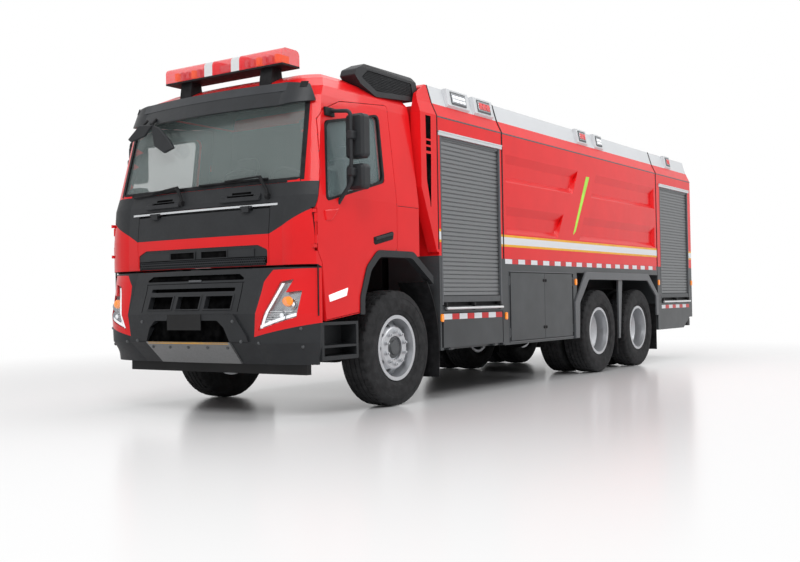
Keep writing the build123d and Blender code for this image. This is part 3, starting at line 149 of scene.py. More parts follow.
# Trim of the cab sides; outlines are (y, z)
WINDOW = [(-1127, 1813), (-1040, 2515), (-215, 2685), (-232, 2050)]
HANDLE_RECESS = [(-445, 1492), (-420, 1476), (-148, 1534), (-136, 1552), (-136, 1606), (-160, 1608),
                 (-445, 1545)]
HANDLE_BAR = [(-428, 1516), (-150, 1574), (-150, 1598), (-428, 1540)]
DOOR_LAMP = [(-1105, 1031), (-837, 1095), (-859, 1024), (-1089, 974)]
MIRROR_X = 1370
MIRROR_HALF = 98
MIRROR_GLASS_Z = ((1948, 2127), (2213, 2557))
MIRROR_CLAMP_Z = (2070, 2385)
MIRROR_FOOT = [(-1150, 1742), (-945, 1768), (-1052, 1660), (-1130, 1656)]
FAIRING_SLITS = [[(440, 2538), (436, 2762), (528, 2762), (524, 2538)],
                 [(440, 2478), (440, 2517), (524, 2517), (524, 2478)],
                 [(440, 2418), (440, 2457), (524, 2457), (524, 2418)],
                 [(440, 2392), (526, 2392), (514, 1878), (446, 2130)]]
MESH_PITCH = 15
MESH_WIRE = 4

# Seats: name, shifts across, y, z, half sizes, bulge and lean in degrees
SEAT_X = 640
SEAT_PADS = [("cushion", (0,), -370, 1715, (232, 215, 72), 0.45, 4),
             ("back", (0,), -90, 2020, (222, 72, 330), 0.4, 10),
             ("head", (0,), -15, 2385, (130, 48, 82), 0.5, 8),
             ("bolsters", (-200, 200), -100, 1990, (38, 92, 270), 0.5, 10)]

# Camera fitted to the photo, turned by azimuth, pitch and roll; lamps as place, target, size in metres, power
CAMERA_PLACE = (6521.8, -7799.8, 980.9)
CAMERA_TURN = (34.213, 1.069, -0.962)
FOCAL_PIXELS = 1016.84
PHOTO_WIDTH = 800
SENSOR_WIDTH = 36
LAMPS = {"key": ((5, -11, 9), (0, -3, 1), (5, 5), 600), "side": ((9, 3, 9), (0, 1, 1.5), (10, 4), 460),
         "top": ((0, 0, 11), (0, 0, 0), (6, 12), 480)}
FLOOR_HALF = 70
FLOOR_FADE = (4, 11)
WORLD_LIGHT = 0.3


# Placing

def spot(x, y, z):
    """A point of the truck in metres, in the shared frame."""
    return Vector((x / 1000, (y + AXLE_TO_MIDDLE) / 1000, z / 1000))


def steps(start, end, count):
    """Even steps from start to end, both included."""
    return [start + (end - start) * i / count for i in range(count + 1)]


def turns(count, offset=0):
    """Cosine and sine of even steps round a circle."""
    angles = [2 * math.pi * (i + offset) / count for i in range(count)]
    return [(math.cos(a), math.sin(a)) for a in angles]


def net_faces(rows, columns, closed):
    """Faces over rows of corners that each run round; closed joins the last row to the first."""
    faces = []
    for i in range(rows if closed else rows - 1):
        j = (i + 1) % rows
        for k in range(columns):
            m = (k + 1) % columns
            faces.append((i * columns + k, i * columns + m, j * columns + m, j * columns + k))
    return faces


def stack_faces(count):
    """Faces of a body between two like rings of corners."""
    faces = [tuple(range(count)), tuple(range(2 * count - 1, count - 1, -1))]
    for i in range(count):
        j = (i + 1) % count
        faces.append((i, i + count, j + count, j))
    return faces


def box_parts(x, y, z):
    """Corners and faces of a block from pairs of limits."""
    corners = [spot(a, b, c) for c in z for b in y for a in x]
    faces = [(0, 2, 3, 1), (4, 5, 7, 6), (0, 1, 5, 4), (2, 6, 7, 3), (0, 4, 6, 2), (1, 3, 7, 5)]
    return corners, faces


def prism_parts(points, limits, corner):
    """A flat outline drawn out between two limits; corner turns (a, b, depth) into a point."""
    corners = [corner(a, b, depth) for depth in limits for a, b in points]
    return corners, stack_faces(len(points))


def side_parts(points, x):
    """An outline (y, z) drawn out across the truck."""
    return prism_parts(points, x, lambda a, b, depth: spot(depth, a, b))


def front_parts(points, y):
    """An outline (x, z) drawn out along the truck."""
    return prism_parts(points, y, lambda a, b, depth: spot(a, depth, b))


def lathe_parts(profile, centre, segments):
    """A profile (along x, radius) turned about a line across the truck."""
    x, y, z = centre
    corners = [spot(x + along, y + r * c, z + r * s) for c, s in turns(segments) for along, r in profile]
    return corners, net_faces(segments, len(profile), True)


def dish_parts(rings, centre, segments, closed):
    """Rings (depth, radius) one behind the other, facing forwards."""
    x, y, z = centre
    corners = [spot(x + r * c, y + depth, z + r * s) for depth, r in rings for c, s in turns(segments)]
    return corners, net_faces(len(rings), segments, closed)


def mirrored_parts(parts):
    """The same corners and faces on the other side of the truck."""
    corners, faces = parts
    return [Vector((-c.x, c.y, c.z)) for c in corners], faces


def on_hand(parts_list, side):
    """Parts made for the left side, mirrored where they are for the right."""
    return parts_list if side == "left" else [mirrored_parts(p) for p in parts_list]


def both_sides(parts_list):
    """Parts made for the left side, and the same on the right."""
    return on_hand(parts_list, "left") + on_hand(parts_list, "right")


def side_sign(side):
    """One on the left, minus one on the right."""
    return 1 if side == "left" else -1


def dress(obj, material, body, slot):
    """Link a piece, give it its material, and let it ride on its body; its slot is looked up but not kept."""
    bpy.context.scene.collection.objects.link(obj)
    obj.data.materials.append(material)
    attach(obj, body)
    slot or SLOTS[material.name]


def piece(name, parts_list, material, body="truck", bevel=0, segments=2, smooth=False, slot=None):
    """One joined mesh from several sets of corners and faces, riding on a body."""
    corners = []
    faces = []
    for part_corners, part_faces in parts_list:
        start = len(corners)
        corners.extend(part_corners)
        faces.extend([tuple(i + start for i in face) for face in part_faces])
    mesh = bpy.data.meshes.new(name)
    mesh.from_pydata([tuple(c) for c in corners], [], faces)
    work = bmesh.new()
    work.from_mesh(mesh)
    bmesh.ops.recalc_face_normals(work, faces=work.faces)
    work.to_mesh(mesh)
    work.free()
    obj = bpy.data.objects.new(name, mesh)
    if smooth:
        mesh.polygons.foreach_set("use_smooth", [True] * len(mesh.polygons))
    if bevel:
        edge = obj.modifiers.new("edges", "BEVEL")
        edge.width = bevel / 1000
        edge.segments = segments
        edge.limit_method = "ANGLE"
        edge.angle_limit = math.radians(BEVEL_ANGLE)
        edge.harden_normals = False
    dress(obj, material, body, slot)
    return obj


def tube(name, lines, radius, material):
    """Round bars along lines of points."""
    curve = bpy.data.curves.new(name, "CURVE")
    curve.dimensions = "3D"
    curve.bevel_depth = radius / 1000
    curve.bevel_resolution = 3
    curve.use_fill_caps = True
    for points in lines:
        line = curve.splines.new("POLY")
        line.points.add(len(points) - 1)
        for target, point in zip(line.points, points):
            target.co = (*spot(*point), 1)
    dress(bpy.data.objects.new(name, curve), material, "truck", None)


# Materials

class Finish:
    """A new material with its shader node, and ways to feed that node."""

    def __init__(self, name):
        self.material = bpy.data.materials.new(name)
        self.material.use_nodes = True
        self.tree = self.material.node_tree
        self.target = self.tree.nodes["Principled BSDF"]

    def add(self, kind, inputs):
        """A further node of the material."""
        return feed(self.tree, self.tree.nodes.new("ShaderNode" + kind), inputs)

    def give(self, inputs):
        """Feed the shader node."""
        feed(self.tree, self.target, inputs)

    def noise(self, scale, detail=3, stretch=(1, 1, 1)):
        """Noise over the truck's own coordinates, in metres."""
        place = self.add("TexCoord", {}).outputs["Object"]
        mapped = self.add("Mapping", {"Vector": place, "Scale": stretch}).outputs["Vector"]
        return self.add("TexNoise", {"Vector": mapped, "Scale": scale, "Detail": detail}).outputs["Fac"]

    def colour(self, factor, stops):
        """Base colour in stops along a factor."""
        node = self.add("ValToRGB", {"Fac": factor})
        elements = node.color_ramp.elements
        for index, (position, colour) in ((0, stops[0]), (1, stops[-1])):
            elements[index].position = position
            elements[index].color = (*colour, 1)
        for position, colour in stops[1:-1]:
            elements.new(position).color = (*colour, 1)
        self.give({"Base Color": node.outputs["Color"]})

    def roughness(self, factor, low, high):
        """Roughness between two values along a factor."""
        node = self.add("MapRange", {"Value": factor, "To Min": low, "To Max": high})
        self.give({"Roughness": node.outputs["Result"]})

    def bump(self, height, strength, distance):
        """Fine relief from a height."""
        node = self.add("Bump", {"Height": height, "Strength": strength, "Distance": distance})
        self.give({"Normal": node.outputs["Normal"]})


def feed(tree, node, inputs):
    """Set inputs of a node by name or number, or link those that get a socket."""
    for name, value in inputs.items():
        if isinstance(value, bpy.types.NodeSocket):
            tree.links.new(value, node.inputs[name])
        else:
            node.inputs[name].default_value = value
    return node


def shades(colour, spread):
    """Three close shades of a colour."""
    dark = tuple(c * (1 - spread) for c in colour)
    light = tuple(min(1, c * (1 + spread)) for c in colour)
    return [(0.3, dark), (0.5, colour), (0.7, light)]


def paint(name, colour, rough=0.3, coat=0.15, spread=0.04):
    """Sprayed paint under clear coat, with a faint orange peel."""
    finish = Finish(name)
    finish.colour(finish.noise(2.5), shades(colour, spread))
    finish.roughness(finish.noise(9), rough - 0.04, rough + 0.06)
    finish.give({"Coat Weight": coat, "Coat Roughness": 0.05, "Specular IOR Level": 0.12})
    finish.bump(finish.noise(60, 2), 0.012, 0.001)
    return finish.material


def plastic(name, colour, rough=0.55, grain=700, depth=0.12):
    """Moulded plastic with a leathery grain."""
    finish = Finish(name)
    finish.colour(finish.noise(6), shades(colour, 0.12))
    finish.roughness(finish.noise(30), rough - 0.08, rough + 0.1)
    finish.give({"Specular IOR Level": 0.3})
    finish.bump(finish.noise(grain, 2), depth, 0.0008)
    return finish.material


def metal(name, colour, rough=0.35, stretch=(1, 1, 1), scale=60, spread=0.1, metallic=1.0):
    """Metal with fine streaks."""
    finish = Finish(name)
    streak = finish.noise(scale, 4, stretch)
    finish.colour(streak, shades(colour, spread))
    finish.roughness(streak, rough - 0.08, rough + 0.12)
    finish.give({"Metallic": metallic})
    finish.bump(streak, 0.04, 0.0006)
    return finish.material


def rubber(name, colour, rough=0.75, shine=0.2):
    """Black rubber with a little grey dust in its hollows."""
    finish = Finish(name)
    dusty = tuple(c * 1.9 + 0.006 for c in colour)
    finish.colour(finish.noise(14, 5), [(0.35, colour), (0.75, dusty)])
    finish.roughness(finish.noise(40), rough - 0.1, rough + 0.1)
    finish.give({"Specular IOR Level": shine})
    finish.bump(finish.noise(420, 3), 0.15, 0.0008)
    return finish.material


def glass(name, colour, cover):
    """Thin tinted glass; cover is the share of the view that its film and shine hide. The film's pale colour
    is partly the glass's tint and partly painted reflection of the white surroundings.
    """
    finish = Finish(name)
    finish.colour(finish.noise(1.2), shades(colour, 0.08))
    finish.give({"Roughness": 0.04, "Specular IOR Level": 0.6, "Alpha": cover})
    return finish.material


def lens(name, colour, glow=0.0, pitch=26, rough=0.12, cover=1.0):
    """Coloured lamp lens with upright moulded ribs."""
    finish = Finish(name)
    place = finish.add("TexCoord", {}).outputs["Object"]
    ribs = finish.add("TexWave", {"Vector": place, "Scale": pitch, "Distortion": 0}).outputs["Fac"]
    finish.colour(ribs, shades(colour, 0.15))
    finish.give({"Roughness": rough, "Coat Weight": 0.5, "Emission Color": (*colour, 1),
                 "Emission Strength": glow, "Alpha": cover})
    finish.bump(ribs, 0.15, 0.002)
    return finish.material


def cloth(name, colour):
    """Woven seat cloth."""
    finish = Finish(name)
    weave = finish.noise(900, 2)
    finish.colour(weave, shades(colour, 0.35))
    finish.give({"Roughness": 0.9, "Sheen Weight": 0.3})
    finish.bump(weave, 0.4, 0.001)
    return finish.material


RED = paint("red_paint", (0.78, 0.011, 0.014), rough=0.3, coat=0.25)
WHITE = paint("white_paint", (0.66, 0.68, 0.7), spread=0.02)
GREY = paint("grey_paint", (0.055, 0.059, 0.063), rough=0.4, coat=0.25, spread=0.15)
ARCH_GREY = paint("arch_grey", (0.1, 0.105, 0.113), rough=0.4, coat=0.3)
BLACK_STEEL = paint("black_steel", (0.018, 0.018, 0.019), rough=0.5, coat=0.1, spread=0.2)
CAST = metal("cast_metal", (0.11, 0.115, 0.12), rough=0.6, scale=25, metallic=0.6)
DARK = plastic("dark_plastic", (0.019, 0.0205, 0.023))
VISOR_LIGHT = plastic("visor_inset", (0.035, 0.038, 0.043), rough=0.38)
VISOR = plastic("visor_plastic", (0.018, 0.02, 0.023), rough=0.42)
INSIDE = plastic("cab_inside", (0.05, 0.052, 0.055), rough=0.7)
DECK = metal("deck_plate", (0.5, 0.5, 0.51), rough=0.45, scale=90)
CLOTH = cloth("seat_cloth", (0.035, 0.037, 0.042))
BRIGHT = metal("bright_metal", (0.72, 0.73, 0.74), rough=0.3, stretch=(1, 0.05, 1), scale=220)
SKID = metal("skid_metal", (0.27, 0.272, 0.275), rough=0.45, scale=50)
CHROME = metal("lamp_chrome", (0.3, 0.31, 0.33), rough=0.2, scale=30)
SHUTTER = metal("shutter_aluminium", (0.2, 0.206, 0.212), rough=0.42, stretch=(1, 0.04, 1), scale=260,
                spread=0.06)
WHEEL = metal("wheel_silver", (0.5, 0.51, 0.53), rough=0.36, scale=40, spread=0.04, metallic=0.75)
TYRE = rubber("tyre_rubber", (0.016, 0.016, 0.017))
SEAL = rubber("black_seal", (0.008, 0.008, 0.009), rough=0.6, shine=0.15)
# Near-black rubber without shine, used as painted shade in recesses, openings and panel gaps.
PAINTED_SHADE = rubber("painted_shade_black", (0.002, 0.002, 0.0022), rough=0.9, shine=0.0)
# The pale colours of the three glasses are partly tint and partly painted reflection of the white
# surroundings.
SCREEN = glass("screen_glass", (0.34, 0.41, 0.4), 0.27)
TINT = glass("tinted_glass", (0.3, 0.4, 0.41), 0.3)
CLEAR = glass("lamp_clear", (0.7, 0.73, 0.75), 0.16)
RED_LENS = lens("lamp_red", (0.62, 0.012, 0.015), glow=0.25)
BAR_LENS = lens("bar_red", (0.75, 0.012, 0.02), glow=0.3, pitch=60, rough=0.08, cover=0.62)
AMBER = lens("lamp_amber", (0.9, 0.25, 0.01), glow=0.4)
WHITE_LENS = lens("lamp_white", (0.85, 0.87, 0.9), glow=0.35)
YELLOW_TAPE = plastic("yellow_tape", (0.85, 0.42, 0.01), rough=0.35, grain=1500, depth=0.05)
WHITE_TAPE = paint("white_tape", (0.76, 0.78, 0.81), rough=0.35, coat=0.1, spread=0.01)
RED_TAPE = plastic("red_tape", (0.6, 0.012, 0.015), rough=0.3, grain=1500, depth=0.05)
GREEN_TAPE = plastic("green_tape", (0.42, 0.8, 0.06), rough=0.35, grain=1500, depth=0.05)

NODE_FINISH = {
    "frame": BLACK_STEEL, "engine": CAST, "axles": BLACK_STEEL, "leaf_springs": BLACK_STEEL,
    "bumper": DARK, "skid_plate": SKID, "headlamp_covers": RED, "headlamps": CLEAR,
    "cab_steps": DARK, "mudguards": SEAL, "arch_trims": ARCH_GREY, "cab_shell": RED,
    "cab_roof": RED, "cab_trim": DARK, "windscreen": SCREEN, "light_bar": BAR_LENS,
    "air_intake": DARK, "dashboard": INSIDE, "seats": CLOTH, "body_front": RED,
    "body_tank": RED, "body_rear": RED, "roof_deck": WHITE, "shutters": SHUTTER,
    "lower_body": GREY, "lamps": WHITE, "rear_bumper": BLACK_STEEL, "ladder": BRIGHT,
    "front_lid": RED, "lid_panel": DARK, "steering_wheel": INSIDE,
    "monitor_swivel": RED, "monitor_barrel": RED,
}
PAIR_FINISH = {
    "knuckle": CAST, "tyre_front": TYRE, "rim_front": WHEEL, "tyres_rear1": TYRE, "tyres_rear2": TYRE,
    "rims_rear1": WHEEL, "rims_rear2": WHEEL, "door": RED, "door_glass": TINT, "mirrors": DARK,
    "flap": GREY, "locker_front": GREY, "locker_rear": GREY,
}
SLOT_MATERIALS = {"dark_plastic": (SEAL, DARK, PAINTED_SHADE, VISOR_LIGHT), "bright_metal": (BRIGHT, CHROME),
                  "cast_metal": (CAST,), "white_paint": (WHITE, WHITE_TAPE, YELLOW_TAPE, RED_TAPE,
                                                         GREEN_TAPE), "grey_paint": (ARCH_GREY,),
                  "red_paint": (RED,), "black_steel": (BLACK_STEEL,), "lamp_clear": (WHITE_LENS, AMBER),
                  "lamp_red": (RED_LENS,), "tyre": (TYRE,), "wheel_silver": (WHEEL,),
                  "seat_cloth": (CLOTH,), "cab_inside": (INSIDE,), }
SLOTS = {material.name: slot for slot, materials in SLOT_MATERIALS.items() for material in materials}


def finish_nodes():
    """Give every piece of the frame its material."""
    finishes = dict(NODE_FINISH)
    for start, material in PAIR_FINISH.items():
        for side in SIDES:
            finishes[start + "_" + side] = material
    for name, node in NODES.items():
        node.data.materials.clear()
        node.data.materials.append(finishes[name])


def refinish(name, material, wanted):
    """Give the faces of a node that pass a test another material; the test gets centre and normal in mm."""
    node = NODES[name]
    node.data.materials.append(material)
    index = len(node.data.materials) - 1
    for face in node.data.polygons:
        c = face.center
        centre = (c.x * 1000, c.y * 1000 - AXLE_TO_MIDDLE, c.z * 1000)
        if wanted(centre, face.normal):
            face.material_index = index


finish_nodes()


# Skins of the cab and bumper, for trim that follows them

def level(levels, z):
    """Half width and front of a skin at a height."""
    for low, high in zip(levels, levels[1:]):
        if z <= high[0] or high is levels[-1]:
            t = min(1, max(0, (z - low[0]) / (high[0] - low[0])))
            return low[1] + t * (high[1] - low[1]), low[2] + t * (high[2] - low[2])


def bowed(x, half, front, bow, width, depth):
    """How far back a bowed front with drawn-back corners is at x."""
    edge = half - width
    x = abs(x)
    if x <= edge:
        radius = (edge * edge + bow * bow) / (2 * bow)
        return front + radius - math.sqrt(radius * radius - x * x)
    t = min(1, (x - edge) / width)
    return front + bow + depth * t ** CORNER_BEND


def cab_front(x, z):
    """Front of the cab's skin."""
    half, front = level(CAB_LEVELS, z)
    return bowed(x, half, front, CAB_BOW, *CAB_CORNER)


def cab_side(z):
    """Half width of the cab's skin."""
    return level(CAB_LEVELS, z)[0]


def bumper_front(x, z):
    """Front of the bumper's skin; its corners all run back to one line."""
    half, front = level(BUMPER_LEVELS, z)
    return bowed(x, half, front, BUMPER_BOW, BUMPER_CORNER, BUMPER_CORNER_END - front - BUMPER_BOW)


def visor_front(x, z):
    """Front of the sun visor."""
    half, front = level(VISOR_LEVELS, z)
    return bowed(x, half, front, VISOR_BOW, *VISOR_CORNER)


def on_skin(skin, x, z, lift, sink=4):
    """A plate over a front skin, from sink behind it to lift before it."""
    return shell_parts(x, z, lambda u, v, layer: spot(u, skin(u, v) - (lift if layer else -sink), v))


def shell_parts(us, vs, place):
    """A thin plate over a grid; place(u, v, layer) gives a point of its back (0) or front (1)."""
    corners = []
    for layer in (0, 1):
        for v in vs:
            for u in us:
                corners.append(place(u, v, layer))
    wide = len(us)
    high = len(vs)
    size = wide * high
    faces = []
    for j in range(high - 1):
        for i in range(wide - 1):
            a = j * wide + i
            faces.append((a, a + 1, a + 1 + wide, a + wide))
            faces.append((size + a, size + a + wide, size + a + wide + 1, size + a + 1))
    rim = [i for i in range(wide)]
    rim += [j * wide + wide - 1 for j in range(1, high)]
    rim += [(high - 1) * wide + i for i in range(wide - 2, -1, -1)]
    rim += [j * wide for j in range(high - 2, 0, -1)]
    for a, b in zip(rim, rim[1:] + rim[:1]):
        faces.append((a, a + size, b + size, b))
    return corners, faces


def on_cab(x, z, lift, sink=4):
    """A plate on the cab front."""
    return on_skin(cab_front, x, z, lift, sink)


def on_bumper(x, z, lift, sink=4):
    """A plate on the bumper."""
    return on_skin(bumper_front, x, z, lift, sink)


def frame_bars(skin, x, z, bar, reach, post, count, lift, sink):
    """Level bars and posts round an opening; post gives a post's limits, outwards from the opening's end."""
    wide = steps(x[0] - reach, x[1] + reach, count)
    spans = [(wide, (z[1] - bar, z[1])), (wide, (z[0], z[0] + bar)),
             ((x[0] - post[1], x[0] - post[0]), z), ((x[1] + post[0], x[1] + post[1]), z)]
    return [on_skin(skin, across, up, lift, sink) for across, up in spans]


def on_door(y, z, lift, sink=4):
    """A plate on the leaning left side of the cab."""
    return shell_parts(y, z, lambda u, v, layer: spot(cab_side(v) + (lift if layer else -sink), u, v))


def on_side(y, z, lift=LIFT):
    """A flat plate on the left body side."""
    return box_parts((SIDE - SINK, SIDE + lift), y, z)


def ball_parts(centre, radii, rings=10, segments=20):
    """A closed rounded body."""
    x, y, z = centre
    corners = []
    for i in range(1, rings):
        a = math.pi * i / rings
        for c, s in turns(segments):
            corners.append(spot(x + radii[0] * math.sin(a) * c, y + radii[1] * math.sin(a) * s,
                                z + radii[2] * math.cos(a)))
    faces = net_faces(rings - 1, segments, False)
    faces.append(tuple(range(segments - 1, -1, -1)))
    faces.append(tuple((rings - 2) * segments + j for j in range(segments)))
    return corners, faces


# Faces of the frame that have their own finish, and the hollows that get painted shade

def inside_cab(centre, normal):
    """Faces well inside the cab's skin."""
    x, y, z = centre
    front = cab_front(x, z) + CAB_WALL
    return z > CAB_FLOOR and abs(x) < cab_side(z) - CAB_WALL and front < y < CAB_BACK - CAB_WALL


def under_cab(centre, normal):
    """Faces that look down, low on the cab."""
    return normal.z < -0.6 and centre[2] < 1500


def pillar(centre, normal):
    """Deep faces round the windscreen."""
    x, y, z = centre
    deep = y > cab_front(x, z) + 5
    return 1980 < z < 2760 and y < -900 and deep and abs(x) < 1122 and not inside_cab(centre, normal)


def between_lenses(centre, normal):
    """The two clear blocks of the light bar."""
    share = abs(centre[0]) / LIGHT_BAR_HALF
    return centre[2] >= LIGHT_BAR_FLOOR + 1 and 0.161 < share < 0.299


def shutter_foot(centre, normal):
    """The lowest slat of each side shutter."""
    x, y, z = centre
    return z < SHUTTER_BOTTOM + 61 and abs(x) < SIDE + 1 and y < BODY_REAR - 90


def front_hub(centre, normal):
    """The middle of a front rim."""
    x, y, z = centre
    return abs(x) < FRONT_WHEEL_X - 35 and math.hypot(y, z - AXLE_Z) < 210


def lid_lug(centre, normal):
    """The lugs that carry the front lid."""
    x, y, z = centre
    return 498 < abs(x) < 622 and 1776 < z < 1812 and y < -1270


def fairing_slit(centre, normal):
    """Sides and floors of the slits in the corner panels."""
    x, y, z = centre
    return SIDE - 41 < abs(x) < SIDE - 1 and 455 < y < 530 and 1870 < z < 2765


def bumper_hollow_shade(centre, normal):
    """Floor of the recess under the plate and of the ledge over the grille, which gets painted shade."""
    x, y, z = centre
    deep = y > bumper_front(x, z) + 8
    return deep and abs(x) < 620 and (640 < z < 840 or 1170 < z < 1230)


def finish_details():
    """Second finishes on pieces that are painted in parts."""
    refinish("cab_shell", INSIDE, inside_cab)
    refinish("cab_shell", DARK, under_cab)
    refinish("cab_shell", VISOR, pillar)
    refinish("cab_shell", DARK, lid_lug)
    refinish("cab_roof", INSIDE, lambda c, n: n.z < -0.5)
    refinish("body_front", SEAL, fairing_slit)
    refinish("air_intake", SEAL, lambda c, n: INTAKE_FACE - 13 < c[0] < INTAKE_FACE - 1 and c[2] > 2895)
    refinish("bumper", BLACK_STEEL, lambda c, n: c[2] < 456)
    # Painted shade: the floors of the bumper's recesses turn near-black.
    refinish("bumper", PAINTED_SHADE, bumper_hollow_shade)
    refinish("bumper", BLACK_STEEL, lambda c, n: c[1] < 9 - FRONT_OVERHANG and abs(c[0]) < 206)
    refinish("light_bar", SEAL, lambda c, n: c[2] < LIGHT_BAR_FLOOR + 1)
    refinish("light_bar", BRIGHT, between_lenses)
    refinish("cab_trim", VISOR, lambda c, n: c[2] > 2600)
    refinish("lamps", AMBER, lambda c, n: c[2] < 1400 and c[1] < BODY_REAR - 10)
    refinish("lamps", RED_LENS, lambda c, n: c[2] < 1100 and c[1] > BODY_REAR - 1)
    refinish("shutters", BRIGHT, lambda c, n: abs(c[0]) > SIDE + 1)
    refinish("shutters", CAST, shutter_foot)
    for name in ("body_front", "body_tank", "body_rear"):
        refinish(name, DECK, lambda c, n: n.z > 0.9 and c[2] > SHOULDER_TOP - 2)
        refinish(name, BLACK_STEEL, lambda c, n: c[2] < TANK_BOTTOM + 1 and abs(c[0]) < 1150)
    refinish("roof_deck", BRIGHT, lambda c, n: abs(c[0]) < 160)
    for side in SIDES:
        refinish("door_" + side, INSIDE, inside_cab)
        refinish("rim_front_" + side, CAST, front_hub)
        for number in (1, 2):
            y = AXLES[number]
            refinish("rims_rear%d_%s" % (number, side), CAST,
                     lambda c, n: math.hypot(c[1] - y, c[2] - AXLE_Z) < REAR_HUB_RADIUS)


# Tyres with tread

def crown(x):
    """Radius of the tread, a little lower towards its edges."""
    return TREAD_RADIUS - TREAD_DROP * (x / TREAD_HALF) ** 2


def tread_profile():
    """Points (x, radius, kind) from bead to bead; kind says what the cross cuts lower."""
    points = [(-x, r, "wall") for x, r in SIDEWALL]
    for start, end in RIBS:
        kind = "edge" if TREAD_HALF in (-start, end) else "mid"
        if start > -TREAD_HALF:
            points.append((start - 2, crown(start) - TREAD_GROOVE, "groove"))
        points.append((start, crown(start), kind))
        points.append((end, crown(end), kind))
        if end < TREAD_HALF:
            points.append((end + 2, crown(end) - TREAD_GROOVE, "groove"))
    points += [(x, r, "wall") for x, r in reversed(SIDEWALL)]
    return points


def tyre_parts(x, y):
    """One tyre with ribs, grooves and cross cuts in its shoulders."""
    profile = tread_profile()
    corners = []
    for i, (c, s) in enumerate(turns(TREAD_SEGMENTS)):
        for across, radius, kind in profile:
            if kind == "edge" and i % 4 == 0:
                radius -= SHOULDER_CUT
            if kind == "mid" and i % 4 == 2:
                radius -= RIB_CUT
            corners.append(spot(x + across, y + radius * c, AXLE_Z + radius * s))
    return corners, net_faces(TREAD_SEGMENTS, len(profile), True)


def tyres():
    """Dressed tyres in place of the plain ones."""
    for side in SIDES:
        sign = side_sign(side)
        front = piece("tread_front_" + side, [tyre_parts(sign * FRONT_WHEEL_X, 0)], TYRE,
                      "wheel_front_" + side)
        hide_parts("tyre_front_" + side)
        for number in (1, 2):
            pair = [tyre_parts(sign * x, AXLES[number])
                    for x in (REAR_OUTER_X, REAR_OUTER_X - TWIN_SPACING)]
            name = "rear%d_%s" % (number, side)
            rear = piece("tread_" + name, pair, TYRE, "wheel_" + name)
            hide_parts("tyres_" + name)


# Wheel nuts and hub caps

def nut_parts(x, y):
    """Ring of wheel nuts on the left, each with a washer and a stud end."""
    parts = []
    for c, s in turns(NUTS, 0.5):
        parts.append(lathe_parts(NUT_PROFILE, (x, y + NUT_CIRCLE * c, AXLE_Z + NUT_CIRCLE * s), 12))
    return parts


def hub_parts(x, y, radius, depth):
    """Stepped hub cap on the left."""
    profile = [(0, radius), (depth * 0.5, radius), (depth * 0.6, radius - 8),
               (depth * 0.62, radius * 0.72), (depth * 0.95, radius * 0.66), (depth, radius * 0.5),
               (depth, 0.5), (0, 0.5)]
    return lathe_parts(profile, (x, y, AXLE_Z), 40)


def wheel_fittings():
    """Nuts of all outer wheels and caps of the front hubs."""
    for side in SIDES:
        body = "wheel_front_" + side
        piece("nuts_front_" + side, on_hand(nut_parts(FRONT_WHEEL_X + 104, 0), side), WHEEL, body)
        piece("hub_front_" + side, on_hand([hub_parts(FRONT_WHEEL_X + 62, 0, 98, 48)], side), CAST, body,
              1.5)
        for number in (1, 2):
            name = "rear%d_%s" % (number, side)
            nuts = nut_parts(REAR_OUTER_X - TWIN_SPACING / 2 + 14, AXLES[number])
            piece("nuts_" + name, on_hand(nuts, side), CAST, "wheel_" + name)


# Tape, stripes and gaskets

def stripes():
    """Yellow and white stripes along the sides and the slanted green one."""
    yellow = []
    white = []
    for y in STRIPE_SPANS:
        yellow.append(on_side(y, STRIPE[:2]))
        yellow.append(on_side(y, STRIPE[2:]))
        white.append(on_side(y, STRIPE[1:3]))
    piece("stripe_yellow", both_sides(yellow), YELLOW_TAPE)
    piece("stripe_white", both_sides(white), WHITE_TAPE)
    piece("slanted_stripe", both_sides([side_parts(SLANTED_STRIPE, (SIDE - SINK, SIDE + LIFT))]),
          GREEN_TAPE)


def tape_run(name, y, z, body="truck", side=None):
    """Red and white reflective tape in even lengths, along one side or both."""
    pair = TAPE_WHITE + TAPE_RED
    count = max(1, round((y[1] - y[0]) / pair))
    scale = (y[1] - y[0]) / (count * pair)
    red = []
    white = []
    for i in range(count):
        start = y[0] + i * pair * scale
        middle = start + TAPE_WHITE * scale
        white.append(on_side((start, middle - TAPE_GAP), z))
        red.append(on_side((middle, start + pair * scale - TAPE_GAP), z))
    for kind, parts, material in (("white", white, WHITE_TAPE), ("red", red, RED_TAPE)):
        parts = on_hand(parts, side) if side else both_sides(parts)
        piece(name + "_" + kind, parts, material, body)


def tapes():
    """Reflective tape on the tank's foot, the rear skirt and the step flaps."""
    tape_run("tape_mid", (SEAM_1 + 40, SEAM_2 - 40), (1356, 1408))
    tape_run("tape_rear", (REAR_SHUTTER[0] + 10, REAR_SHUTTER[1] - 20), (790, 842))
    for side in SIDES:
        tape_run("tape_flap_" + side, (712, 1908), (780, 836), "flap_" + side, side)


def gasket_parts(y, z_start, lift):
    """Rubber strip from the body's side up over its shoulder and cove."""
    path = [(SIDE, z_start), (SIDE, SIDE_TOP), (SIDE - SHOULDER_IN, SHOULDER_TOP),
            (SIDE - COVE_IN, COVE_TOP)]

    def place(u, v, layer):
        x, z = path[v]
        out = lift if layer else -6
        tilt = 0.45 if v >= 1 else 0
        return spot(x + out, u, z + out * tilt)

    return shell_parts(y, range(len(path)), place)


